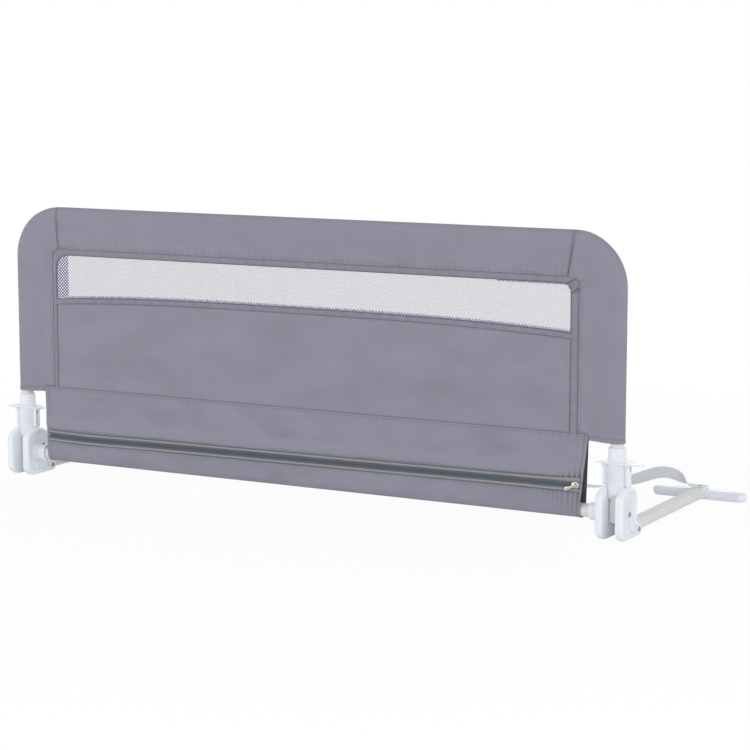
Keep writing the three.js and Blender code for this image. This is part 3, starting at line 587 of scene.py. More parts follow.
def smooth_route(points, steps):
    """Runs a smooth curve through points of any size."""
    points = [Vector(p) for p in points]
    route = []
    for i in range(len(points) - 1):
        p0, p1, p2, p3 = points[max(0, i - 1)], points[i], points[i + 1], points[min(len(points) - 1, i + 2)]
        for k in range(steps):
            t = k / steps
            bend = (2 * p0 - 5 * p1 + 4 * p2 - p3) * t * t + (3 * p1 - p0 - 3 * p2 + p3) * t ** 3
            route.append(0.5 * (2 * p1 + (p2 - p0) * t + bend))
    route.append(points[-1])
    return route


def repeated(mesh, made, pitch, count):
    """Repeats a small shape along X by doubling, and gives back the vertices of all its copies."""
    copies = list(made)
    while len(copies) < count * len(made):
        first = copies[:count * len(made) - len(copies)]
        geometry = first + list({p for v in first for p in list(v.link_edges) + list(v.link_faces)})
        doubled = bmesh.ops.duplicate(mesh, geom=geometry)["vert_map"]
        shift = pitch * len(copies) / len(made)
        fresh = [doubled[v] for v in first]
        bmesh.ops.translate(mesh, verts=fresh, vec=(shift, 0, 0))
        copies += fresh
    return copies


def lengths_along(route):
    """Length walked from the start of a route to each of its places."""
    return list(itertools.accumulate(((b - a).length for a, b in zip(route, route[1:])), initial=0.0))


def lay_along(verts, route, facing):
    """Bends what lies along X on to a route; what stands towards Z stands towards facing."""
    walked = lengths_along(route)
    facing = Vector(facing).normalized()
    for vert in verts:
        i = min(len(route) - 2, max(0, bisect.bisect_right(walked, vert.co.x) - 1))
        ahead = (route[i + 1] - route[i]).normalized()
        place = route[i] + ahead * (vert.co.x - walked[i])
        vert.co = place + facing.cross(ahead) * vert.co.y + facing * vert.co.z


def stitch_row(mesh, route, facing, width=0.8, length=0.0, pitch=0.0):
    """Lays stitches along a route of places, slightly sunk in the cloth."""
    length = length or mm(sizes().stitch)
    pitch = pitch or mm(sizes().stitch_pitch)
    total = lengths_along(route)[-1]
    made = bmesh.ops.create_icosphere(mesh, subdivisions=1, radius=0.5)["verts"]
    bmesh.ops.scale(mesh, verts=made, vec=(length, width, width))
    bmesh.ops.translate(mesh, verts=made, vec=(pitch / 2, 0, 0))
    lay_along(repeated(mesh, made, pitch, int(total / pitch)), route, facing)


# Stage
class RAIL_OT_stage(bpy.types.Operator):
    """Lays the floor, the white backdrop, the soft lamps and the camera"""

    bl_idname = "rail.stage"
    bl_label = "Stage"
    bl_options = {"REGISTER", "UNDO"}

    def execute(self, context):
        scene = context.scene
        scene.view_settings.view_transform = "Standard"
        self.backdrop(scene)
        self.floor(scene)
        self.lamps(scene)
        self.camera(scene)
        return {"FINISHED"}

    def backdrop(self, scene):
        """Room light that is dimmer from above, and plain white where it is seen or mirrored."""
        scene.world = bpy.data.worlds.new("white_room")
        scene.world.use_nodes = True
        tree = scene.world.node_tree
        light = tree.nodes["Background"]
        light.inputs["Color"].default_value = (0.95, 0.98, 1, 1)
        height = lay(tree, "SeparateXYZ", {0: lay(tree, "TexCoord").outputs["Generated"]}).outputs[2]
        tree.links.new(stretched(tree, height, 0.0, 0.8, 0.83, 0.6), light.inputs["Strength"])
        seen = lay(tree, "Background", {"Color": (1, 1, 1, 1), "Strength": 1.0})
        path = lay(tree, "LightPath").outputs
        shown = reckon(tree, "MAXIMUM", path["Is Camera Ray"], path["Is Transmission Ray"])
        shown = reckon(tree, "MAXIMUM", shown, path["Is Glossy Ray"])
        mixed = lay(tree, "MixShader", {0: shown, 1: light.outputs[0], 2: seen.outputs[0]})
        tree.links.new(mixed.outputs[0], tree.nodes["World Output"].inputs["Surface"])

    def floor(self, scene):
        """Pale floor that keeps the shadow near the rail and turns white further out."""
        made, tree, shader = finish("pale_floor", Roughness=0.9, Specular_IOR_Level=0.1)
        shader.inputs["Base Color"].default_value = (0.95, 0.95, 0.95, 1)
        glow = lay(tree, "Emission", {"Color": (1, 1, 1, 1), "Strength": 1.0})
        away = lay(tree, "VectorMath", {0: place_on(tree)}, operation="LENGTH").outputs["Value"]
        fade = stretched(tree, away, 0.7, 1.5, 0.93, 1.0)
        share = reckon(tree, "MULTIPLY", fade, lay(tree, "LightPath").outputs["Is Camera Ray"])
        mixed = lay(tree, "MixShader", {0: share, 1: shader.outputs[0], 2: glow.outputs[0]})
        tree.links.new(mixed.outputs[0], tree.nodes["Material Output"].inputs["Surface"])
        mesh = bmesh.new()
        just_under = Matrix.Translation((0, 0, -0.0005))
        bmesh.ops.create_circle(mesh, cap_ends=True, radius=9.0, segments=64, matrix=just_under)
        data = bpy.data.meshes.new("floor")
        mesh.to_mesh(data)
        mesh.free()
        data.materials.append(made)
        floor = bpy.data.objects.new("floor", data)
        scene.collection.objects.link(floor)

    def lamps(self, scene):
        lamps = [
            ("lamp_right", (4.2, -1.2, 1.25), 2.2, 30.0),
            ("lamp_front", (-2.6, -3.6, 1.4), 2.6, 41.0),
            ("lamp_near", (2.0, -3.6, 0.7), 1.6, 13.0),
            ("lamp_back", (-1.5, 3.6, 1.6), 2.4, 34.0),
        ]
        for name, place, size, power in lamps:
            lamp = bpy.data.lights.new(name, "AREA")
            lamp.shape = "DISK"
            lamp.size = size
            lamp.energy = power
            holder = bpy.data.objects.new(name, lamp)
            holder.location = place
            towards_rail = Vector((0, 0, 0.25)) - holder.location
            holder.rotation_euler = towards_rail.to_track_quat("-Z", "Y").to_euler()
            scene.collection.objects.link(holder)

    def camera(self, scene):
        lens = bpy.data.cameras.new("camera")
        lens.lens = 109.17
        lens.sensor_width = 36.0
        lens.clip_end = 50.0
        camera = bpy.data.objects.new("camera", lens)
        camera.location = (1.9490, -3.4630, 0.7855)
        camera.rotation_euler = Euler((math.radians(81.6), 0, math.radians(28.79)))
        scene.collection.objects.link(camera)
        scene.camera = camera


# Strap between the feet: X, Y, height of its middle, and twist in degrees; the left half mirrors it
STRAP_ROUTE = [
    (590, 371.5, 21.1, 0), (580, 371.5, 21.1, 0), (569, 371.5, 21.2, 0), (561, 371.5, 22.4, 8),
    (554, 371.3, 26, 34), (546, 371, 31.5, 66), (536, 371, 36.5, 82), (520, 371, 39.2, 87),
    (503, 371, 37.5, 87), (484, 371.5, 31, 82), (465, 372, 23.5, 72), (446, 372.5, 16.4, 56),
    (427, 372.5, 9.6, 36), (408, 372.5, 4.6, 16), (388, 372.5, 1.6, 3), (366, 372.5, 1.1, 0),
    (330, 372.5, 1.1, 0), (260, 372, 1.1, 0), (170, 371, 1.1, 0), (80, 370.5, 1.1, 0),
]
# Half of the strap's section, out from its middle and up
STRAP_EDGE = [(10, -0.45), (10, 0.45), (9.6, 0.8), (5, 0.72), (0, 0.75)]


class RAIL_OT_strap(bpy.types.Operator):
    """Lays the webbing strap from foot to foot, arched on edge beside each foot"""

    bl_idname = "rail.strap"
    bl_label = "Strap"
    bl_options = {"REGISTER", "UNDO"}

    def execute(self, context):
        mirrored = [(-x, y, z, -twist) for x, y, z, twist in reversed(STRAP_ROUTE)]
        route = smooth_route(STRAP_ROUTE + mirrored, 4)
        centres = [p.to_3d() for p in route]
        top = STRAP_EDGE + [(-a, b) for a, b in reversed(STRAP_EDGE[:-1])]
        section = top + [(-a, -b) for a, b in top[2:-2]]
        rings = []
        for i, place in enumerate(centres):
            ahead = (centres[min(len(centres) - 1, i + 1)] - centres[max(0, i - 1)]).normalized()
            level = Vector((0, 1, 0))
            level = (level - ahead * level.dot(ahead)).normalized()
            across = Matrix.Rotation(math.radians(route[i][3]), 3, ahead) @ level
            up = across.cross(ahead).normalized()
            rings.append([place + across * a + up * b for a, b in section])
        mesh = new_mesh()
        loft(mesh, rings, capped=True)
        strap = make_piece("webbing_strap", mesh, "webbing", "leg_right", ["strap"], "webbing", crisp=50)
        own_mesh(strap)
        return {"FINISHED"}


# Tubes
class RAIL_OT_tubes(bpy.types.Operator):
    """Bends the corner tubes, lays the bottom tube and finishes the hidden top tube and plugs"""

    bl_idname = "rail.tubes"
    bl_label = "Tubes"
    bl_options = {"REGISTER", "UNDO"}

    def execute(self, context):
        for side, name in SIDES:
            mesh = new_mesh()
            end = self.open_end(mesh, Matrix.Translation((POST_X, 0, POST_LOW)))
            end = self.push(mesh, end, (0, 0, BEND_Z - POST_LOW))
            parts = list({p for f in end for p in list(f.edges) + list(f.verts)}) + end
            bent = bmesh.ops.spin(
                mesh, geom=parts, cent=(BEND_X, 0, BEND_Z), axis=(0, -1, 0), angle=TURN / 4, steps=18
            )
            end = [f for f in bent["geom_last"] if isinstance(f, bmesh.types.BMFace)]
            self.push(mesh, end, (JOINT_X - BEND_X, 0, 0))
            bmesh.ops.scale(mesh, verts=mesh.verts, vec=(side, 1, 1))
            nodes = [f"{name}_corner_tube"]
            make_piece(f"{name}_post", mesh, "tube", "swing_frame", nodes, "tube_paint", crisp=50)

        mesh = new_mesh()
        lying = Matrix.Translation((-TUBE_END, 0, PIVOT_Z)) @ Matrix.Rotation(TURN / 4, 4, "Y")
        self.push(mesh, self.open_end(mesh, lying), (2 * TUBE_END, 0, 0))
        make_piece("base_tube", mesh, "tube", "base", ["bottom_tube"], "tube_paint", crisp=50)

        hidden = {"top_tube": "tube"}
        for _, name in SIDES:
            hidden.update({f"{name}_post_plug": "plug", f"{name}_stop_ring": "plug"})
        for node, kind in hidden.items():
            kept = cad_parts[node].data.materials
            kept.clear()
            kept.append(finish_of(kind))
        return {"FINISHED"}

    def open_end(self, mesh, place):
        """Flat ring between the outside of a tube and its bore."""
        sides = sizes().tube_sides
        for radius in (TUBE_RADIUS, TUBE_BORE):
            bmesh.ops.create_circle(mesh, segments=sides, radius=radius, matrix=place)
        return bmesh.ops.bridge_loops(mesh, edges=mesh.edges[:])["faces"]

    def push(self, mesh, faces, way):
        """Extrudes the end of a tube and gives back its new end."""
        grown = bmesh.ops.extrude_face_region(mesh, geom=faces)["geom"]
        bmesh.ops.translate(mesh, verts=[v for v in grown if isinstance(v, bmesh.types.BMVert)], vec=way)
        return [f for f in grown if isinstance(f, bmesh.types.BMFace)]


# Clamps
def lobe_outline():
    """Outline of a clamp lobe in Y and Z: round, cut flat in front, behind and below, with a heel."""
    radius, front, rear, heel = 44.5, 34.0, 31.0, 10.5
    flat_front = math.acos(front / radius)
    flat_low = math.asin(PIVOT_Z / radius)
    points = [(LEG_Y + y, LEG_Z + z) for y, z in circle(heel, 12, -math.asin(LEG_Z / heel), TURN / 5.5)]
    # The heel runs up into the flat back in a hollow curve
    points += [(rear + 2.4, LEG_Z + 12.6), (rear, LEG_Z + 17)]
    upper = circle(radius, 30, math.acos(rear / radius), TURN / 2 - flat_front)
    lower = circle(radius, 8, TURN / 2 + flat_front, TURN / 2 + flat_low)
    points += [(y, PIVOT_Z + z) for y, z in upper + lower]
    return softened([Vector(p) for p in points], 110, 4)


def softened(points, count, rounds):
    """Spaces the points of a closed outline evenly and rounds its corners off."""
    points = points + points[:1]
    walked = lengths_along(points)
    even = []
    for k in range(count):
        reach = walked[-1] * k / count
        i = min(len(points) - 2, bisect.bisect_right(walked, reach) - 1)
        even.append(points[i].lerp(points[i + 1], (reach - walked[i]) / (walked[i + 1] - walked[i])))
    for _ in range(rounds):
        even = [(even[i - 1] + even[i] * 2 + even[(i + 1) % count]) / 4 for i in range(count)]
    return even


def drawn_in(outline, inset):
    """Moves every point of a closed outline inwards."""
    moved = []
    for i, point in enumerate(outline):
        ahead = (outline[(i + 1) % len(outline)] - outline[i - 1]).normalized()
        moved.append(point + Vector((-ahead.y, ahead.x)) * inset)
    return moved


def rib(mesh, out, floor, spine, height, width):
    """Soft rib on the floor of a recess, along a spine of (Y, Z) places."""
    rings = []
    last = len(spine) - 1
    for i, place in enumerate(spine):
        ahead = (spine[min(last, i + 1)] - spine[max(0, i - 1)]).normalized()
        aside = Vector((0, -ahead.y, ahead.x)) * width / 2
        low = Vector((out * (floor - 0.4), place.x, place.y))
        rise = Vector((out * (height * (1 if 0 < i < last else 0.4) + 0.4), 0, 0))
        shape = ((-1.25, 0), (-1, 0.55), (-0.55, 1), (0.55, 1), (1, 0.55), (1.25, 0))
        rings.append([low + aside * a + rise * b for a, b in shape])
    loft(mesh, rings, capped=True)


def lobe(mesh, out, depth):
    """Lobe about the post axis, with its recess towards out; the rivet seats stand in the recess."""
    rounding = mm(sizes().lobe_rounding)
    rim = rounding + 1.0
    rings = [(1.8, LOBE_NEAR), (0.6, LOBE_NEAR + 0.5), (0, LOBE_NEAR + 1.7)]
    for across, up in circle(rounding, 6, 0, TURN / 4):
        rings.append((rounding - across, LOBE_FAR - rounding + up))
    # The wall of the recess: how far in from the rim, and how deep
    recess = ((0, 0), (0.5, 0.2), (1.0, 0.8), (1.5, depth * 0.6), (2.3, depth * 0.93), (3.4, depth))
    rings += [(rim + inset, LOBE_FAR - drop) for inset, drop in recess]
    outline = lobe_outline()
    rows = []
    for inset, x in rings:
        # Painted shade: the wall and floor of the recess are darker
        shade = min(0.0, (x - LOBE_FAR + 0.6) / depth) if inset > rim else 0.0
        rows.append([(Vector((out * x, p.x, p.y)), shade) for p in drawn_in(outline, inset)])
    drape(mesh, rows, capped=True)
    floor = LOBE_FAR - depth
    for radius, y, z in ((8.6, 0, PIVOT_Z), (8.0, LEG_Y, LEG_Z)):
        seat = [(0, floor - 1), (radius + 1.6, floor - 1), (radius + 1.3, floor), (radius, floor + 0.6)]
        seat += [(radius - 0.4, RIVET_SEAT - 0.5), (radius - 1.1, RIVET_SEAT), (0, RIVET_SEAT)]
        turned(mesh, seat, (0, y, z), (out, 0, 0), 32)


class RAIL_OT_clamps(bpy.types.Operator):
    """Moulds the floor clamps: inner and outer lobes, boss, back wall, rivets and grub screw"""

    bl_idname = "rail.clamps"
    bl_label = "Clamps"
    bl_options = {"REGISTER", "UNDO"}

    def execute(self, context):
        on_posts("base", (
            ("clamp_outer", self.outer_lobe, "plastic", "outer_lobe", "clamp_plastic", 32),
            ("clamp_inner", self.inner_lobe, "plastic", "inner_lobe", "clamp_plastic", 32),
            ("pivot_pin", self.pivot_rivet, "steel", "pivot_rivet", "steel", 35),
            ("leg_pin", self.leg_rivet, "steel", "leg_rivet", "steel", 35),
            # The grub screw and the leg rivet's socket are dark: painted shade in their sockets
            ("grub_screw", self.grub_screw, "hollow", "tube_screw", "steel", 35),
            ("leg_pin_bore", self.pin_bore, "hollow", "", "steel", 35),
        ))
        return {"FINISHED"}

    def outer_lobe(self, mesh):
        """Shallow recess with a curved rib from the pivot down to a small pad, and one behind it."""
        lobe(mesh, 1, 3.2)
        floor = LOBE_FAR - 3.2
        tail = smooth_route([(1.5, 33), (4.5, 24), (11, 14), (18.5, 8.6)], 4)
        rib(mesh, 1, floor, tail, 2.5, 3.0)
        crest = smooth_route([(2.5, 50), (9.5, 56), (12, 63), (10, 71)], 4)
        rib(mesh, 1, floor, crest, 2.3, 3.0)
        pad = [(0, floor - 1), (3.4, floor - 1), (3.0, floor + 1.3), (2.2, floor + 1.7), (0, floor + 1.3)]
        turned(mesh, pad, (0, 19, 8.4), (1, 0, 0), 16)

    def inner_lobe(self, mesh):
        """Deeper dish round the boss that holds the bottom tube, joined to the other lobe behind the post."""
        lobe(mesh, -1, 4.2)
        floor = LOBE_FAR - 4.2
        bore = TUBE_RADIUS + 0.3
        boss = [(bore, 16), (19.5, 16), (19.2, floor), (17.6, floor + 0.9), (16.4, floor + 2.6), (15.6, 25.6)]
        boss += [(15.0, 32), (14.7, 42.4), (14.3, 43.6), (13.4, 44), (12.2, 43.8), (bore, 43.2)]
        turned(mesh, boss, (0, 0, PIVOT_Z), (-1, 0, 0))
        # Ribs that fan out from the boss: direction, outer end and bow
        fan = ((78, 38.5, 2.0), (196, 29.5, -1.5), (226, 34.0, -1.0), (252, 38.0, 0.0), (280, 38.5, 1.0))
        for degrees, reach, bow in fan:
            angle = math.radians(degrees)
            ahead = Vector((math.cos(angle), math.sin(angle)))
            aside = Vector((-ahead.y, ahead.x))
            spine = []
            for share in spread(0, 1, 6):
                away = ahead * (15 + (reach - 15) * share) + aside * bow * math.sin(math.pi * share)
                spine.append(Vector((0, PIVOT_Z)) + away)
            rib(mesh, -1, floor, spine, 2.2, 1.8)
        rounded_box(mesh, (23.4, 4.5, 58), (-0.6, 24.75, 30), 1.4, 3)

    def pivot_rivet(self, mesh):
        self.rivet(mesh, 4.6, 1.6, 0, PIVOT_Z)

    def leg_rivet(self, mesh):
        self.rivet(mesh, 4.4, 1.3, LEG_Y, LEG_Z)

    def rivet(self, mesh, radius, rise, y, z):
        """Rivet with a domed head at each end."""
        half = [(0, RIVET_SEAT + rise)]
        for a in spread(TURN / 20, TURN / 4, 4):
            half.append((radius * math.sin(a), RIVET_SEAT + 0.3 + (rise - 0.3) * math.cos(a)))
        half += [(radius, RIVET_SEAT - 0.2), (radius * 0.62, RIVET_SEAT - 0.2)]
        turned(mesh, half + [(r, -h) for r, h in reversed(half)], (0, y, z), (1, 0, 0), 24)

    def grub_screw(self, mesh):
        """Down through the boss to the bottom tube, its socket just over the boss."""
        screw = [(0, 11.3), (2.0, 11.3), (2.4, 15.6), (2.0, 16.6), (1.3, 16.6), (1.1, 15.0), (0, 15.0)]
        turned(mesh, screw, (-34, 0, PIVOT_Z), (0, 0, 1), 12)

    def pin_bore(self, mesh):
        """Socket in the inner head of the leg rivet, in dark plastic that is painted shade."""
        socket = ((0, 0), (2.7, 0), (2.7, 1.5), (2.3, 1.7), (0, 1.35))
        turned(mesh, [(r, RIVET_SEAT + h) for r, h in socket], (0, LEG_Y, LEG_Z), (-1, 0, 0), 16)


# Latch sleeves
class RAIL_OT_latches(bpy.types.Operator):
    """Moulds the latch sleeves with their leaf shaped wings and winds the springs inside them"""

    bl_idname = "rail.latches"
    bl_label = "Latches"
    bl_options = {"REGISTER", "UNDO"}

    # Both sleeves come from one mould, so the slots of the left one show on its inner side
    SLOTS = {
        1: (((0.5, 2.4, 6.0), (23, -0.3, 113.4)),),
        -1: (((0.5, 2.8, 5.0), (-23, -2.9, 114.4)), ((0.5, 1.3, 29.0), (-23, -5.0, 101.5))),
    }

    def execute(self, context):
        on_posts("latch_{}", (("latch", self.latch, "plastic", "latch_sleeve", "latch_plastic", 38),))
        for side, name in SIDES:
            mesh = new_mesh()
            for size, place in self.SLOTS[side]:
                # Thin dark pads where the slots are: painted shade in the slots
                rounded_box(mesh, size, place, 0.2, 2)
            to_side(mesh, side)
            make_piece(f"{name}_latch_slots", mesh, "hollow", f"latch_{name}", [], "latch_plastic")

            mesh = new_mesh()
            self.spring(mesh)
            to_side(mesh, side)
            nodes = [f"{name}_latch_spring"]
            coiled = f"{name}_return_spring"
            spring = make_piece(coiled, mesh, "steel", "swing_frame", nodes, "steel", weld=0.001)
            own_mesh(spring)
        return {"FINISHED"}

    def latch(self, mesh):
        """Sleeve with its wing, and on each side a bar with a shoulder and a web."""
        self.sleeve(mesh)
        self.neck(mesh)
        self.wing(mesh)
        for x in (19.5, -19.5):
            rounded_box(mesh, (7, 12, 36.5), (x, 0, 104.8), 1.6)
            rounded_box(mesh, (10.4, 16.5, 5.0), (x * 0.975, 0, 119.8), 1.4)
            rounded_box(mesh, (4.4, 9, 33.5), (x * 0.8, 0, 103.8), 1.0)

    def spring(self, mesh):
        """Five turns of round wire."""
        steps = 120
        across = Matrix.Translation((12.2, 0, SPRING_LOW)) @ Matrix.Rotation(TURN / 4, 4, "X")
        ring = bmesh.ops.create_circle(mesh, segments=8, radius=0.5, matrix=across)["verts"]
        bmesh.ops.spin(
            mesh, geom=ring + mesh.edges[:], cent=(0, 0, SPRING_LOW), axis=(0, 0, 1),
            dvec=(0, 0, (SPRING_TOP - SPRING_LOW) / steps), angle=TURN * 5, steps=steps,
        )
        bmesh.ops.holes_fill(mesh, edges=[e for e in mesh.edges if e.is_boundary], sides=8)

    def sleeve(self, mesh):
        """Barrel, and the collar over the wing that is nearly as wide."""
        outside = [(SLEEVE_BORE, BAR_LOW - 4), (15, BAR_LOW - 4), (15, WING_LOW + 1.5), (14.8, WING_TOP)]
        collar = ((14.25, 1.4), (13.8, 0.4), (13.1, 0), (12.0, 0.2), (SLEEVE_BORE, 1.0))
        outside += [(14.7, WING_TOP + 0.8)] + [(radius, COLLAR_TOP - drop) for radius, drop in collar]
        # Room for the spring
        inside = [(SLEEVE_BORE, 118.5), (13.4, 118.5), (13.4, 91), (SLEEVE_BORE, 91)]
        turned(mesh, outside + inside, (0, 0, 0), (0, 0, 1), 48)

    def neck(self, mesh):
        """Lower end between the lobes, cut flat at its sides and sloped in front."""
        before = set(mesh.faces)
        top = BAR_LOW - 3.9
        outside = [(14.2, NECK_LOW), (15, NECK_LOW + 0.8), (15, top)]
        turned(mesh, [(SLEEVE_BORE, NECK_LOW)] + outside + [(SLEEVE_BORE, top)], (0, 0, 0), (0, 0, 1), 48)
        cuts = [((x, 0, 0), (x / 11, 0, 0)) for x in (11, -11)] + [((0, -9.6, NECK_LOW), (0, -1, -0.55))]
        for place, facing in cuts:
            faces = [f for f in mesh.faces if f not in before]
            parts = faces + list({p for f in faces for p in list(f.edges) + list(f.verts)})
            cut = bmesh.ops.bisect_plane(
                mesh, geom=parts, dist=0.001, plane_co=place, plane_no=facing, clear_outer=True
            )
            rim = [e for e in cut["geom_cut"] if isinstance(e, bmesh.types.BMEdge)]
            bmesh.ops.contextual_create(mesh, geom=rim)
            before &= set(mesh.faces)

    def wing(self, mesh):
        """Leaf shaped finger plate, its tips drawn out and drooping a little."""
        middle = Vector((4.5, 0, 0))
        leaf = [Vector((42 * x, 17 * y * (1 - 0.16 * x * x), 0)) for x, y in circle(1, 64)]
        rings = []
        for inset, z in ((1.5, 0), (0.45, 0.35), (0, 1.2), (0, 1.9), (0.45, 2.65), (1.5, 3)):
            ring = []
            for p in leaf:
                place = middle + p * (1 - inset / 17)
                over = max(0.0, abs(place.x) - 15) / 30
                place.z = WING_LOW + z * (1 - 0.35 * over) - 2.6 * over ** 2
                ring.append(place)
            rings.append(ring)
        loft(mesh, rings, capped=True)


# Legs and feet
class RAIL_OT_legs(bpy.types.Operator):
    """Makes the rectangular legs, the feet with their hubs, the pins and the strap rivets"""

    bl_idname = "rail.legs"
    bl_label = "Legs and feet"
    bl_options = {"REGISTER", "UNDO"}

    def execute(self, context):
        on_posts("leg_{}", (
            ("leg", self.leg, "leg", "leg_tube", "leg_paint", 40),
            ("floor_foot", self.foot, "plastic", "foot", "foot_plastic", 40),
            ("hub_pin", self.hub_pin, "steel", "foot_pin", "steel", 35),
            ("strap_stud", self.strap_stud, "steel", "strap_rivet", "steel", 35),
        ))
        return {"FINISHED"}

    def hub_pin(self, mesh):
        pin = [(0, -12.4), (1.7, -12.4), (2.4, -12.0), (2.4, 12.0), (1.7, 12.4), (0, 12.4)]
        turned(mesh, pin, (0, LEG_END - 10, LEG_Z), (1, 0, 0), 20)

    def strap_stud(self, mesh):
        shank = ((0, 18.9), (1.9, 18.9), (1.9, 22.2))
        stud = shank + ((4, 22.2), (3.9, 22.5), (3.1, 22.85), (1.6, 23.0), (0, 23.0))
        turned(mesh, stud, (0, FOOT_Y, 0), (0, 0, 1), 24)

    def leg(self, mesh):
        """Bar with rounded edges and a half round end about the rivet."""
        half_x, half_z = LEG_HALF
        rings = []
        edge = [(1.7, -half_x), (0.5, 0.5 - half_x), (0, 1.7 - half_x)]
        for inset, x in edge + [(inset, -x) for inset, x in reversed(edge)]:
            end = [(LEG_Y + y, LEG_Z + z) for y, z in circle(half_z - inset, 16, TURN / 4, TURN * 3 / 4)]
            end += [(LEG_END, LEG_Z - half_z + inset), (LEG_END, LEG_Z + half_z - inset)]
            rings.append([Vector((x, y, z)) for y, z in end])
        loft(mesh, rings, capped=True)

    def foot(self, mesh):
        """Soft stadium bar with a square hub that takes the leg."""
        rings = []
        crown = [(5.0, 0), (2.6, 0.5), (1.0, 2.2), (0.2, 5.0), (0, 8), (0.3, 10.8), (1.3, 13.2), (3.2, 15.0)]
        for inset, z in crown + [(6.0, 15.8), (9.5, 16.0)]:
            half = circle(14 - inset, 14, -TURN / 4, TURN / 4)
            outline = [(71 + a, b) for a, b in half] + [(-71 - a, -b) for a, b in half]
            rings.append([Vector((x, FOOT_Y + y, z)) for x, y in outline])
        loft(mesh, rings, capped=True)
        rounded_box(mesh, (25, 28.6, 20), (0, 371.2, 10), 3.6, 5)


# Cloth cover
def sleeve_section(reach, half, stops, steps=28):
    """Row of (towards the seam, back) pairs round a tube, from the sewn edge and back to it."""
    opened = math.acos((CLOTH_RADIUS - half) / reach)
    touch = (CLOTH_RADIUS * math.cos(opened), CLOTH_RADIUS * math.sin(opened))
    front = []
    for place in stops:
        if place > touch[0] + 0.5:
            front.append((place, touch[1] + (half - touch[1]) * (place - touch[0]) / (reach - touch[0])))
    return front + circle(CLOTH_RADIUS, steps, opened, TURN - opened) + [(a, -b) for a, b in reversed(front)]


def sill(x):
    """Lower edge of the window, lower at both ends."""
    return 336.5 - 12.0 * (abs(x) / SEAM_RIGHT) ** 3


def zip_height(x):
    """Middle of the zip over the floor, with its slight bow near the left end."""
    share = (x - ZIP_LEFT[0]) / (ZIP_RIGHT[0] - ZIP_LEFT[0])
    return ZIP_LEFT[1] + (ZIP_RIGHT[1] - ZIP_LEFT[1]) * share + zip_bow(x - ZIP_LEFT[0])


def zip_bow(from_left):
    return 1.4 * math.exp(-from_left / 30) - hump(from_left - 110, 70)


def corner_lean(side, z):
    """Sideways lean of the seam that joins a side sleeve to the top sleeve; out is more."""
    share = min(1.0, max(0.0, (z - 415) / 58))
    return 14.0 * share - 11.0 if side > 0 else 2.0 - 6.0 * share


def wrinkle(x, z, cell, seed=0.0):
    """Soft folds from -1 to 1 that repeat nowhere."""
    wide = noise.noise(Vector((x / cell, z / cell, seed)))
    return wide + 0.5 * noise.noise(Vector((x / cell * 2.3, z / cell * 2.3, seed + 7)))


def gathers(length):
    """Uneven small waves along a sewn edge."""
    return math.sin(length * 0.5 + 2 * math.sin(length * 0.043))


def groove(from_stitches):
    """How deep a row of stitches draws the cloth in beside it."""
    return -0.5 * hump(from_stitches, 1.0)


def cover_piece(name, node, mesh, flat, rests, **wall):
    """A piece of the cover that is cut flat, though its flat size is not used; it is one layer with its
    inside a darker copy of the cloth, painted shade, unless its wall is given.
    """
    wall = wall or {"wall": mm(sizes().cloth), "inner": "painted_shade_inside"}
    piece = make_piece(name, mesh, "cloth", "swing_frame", [node], "cloth", 60, **wall)


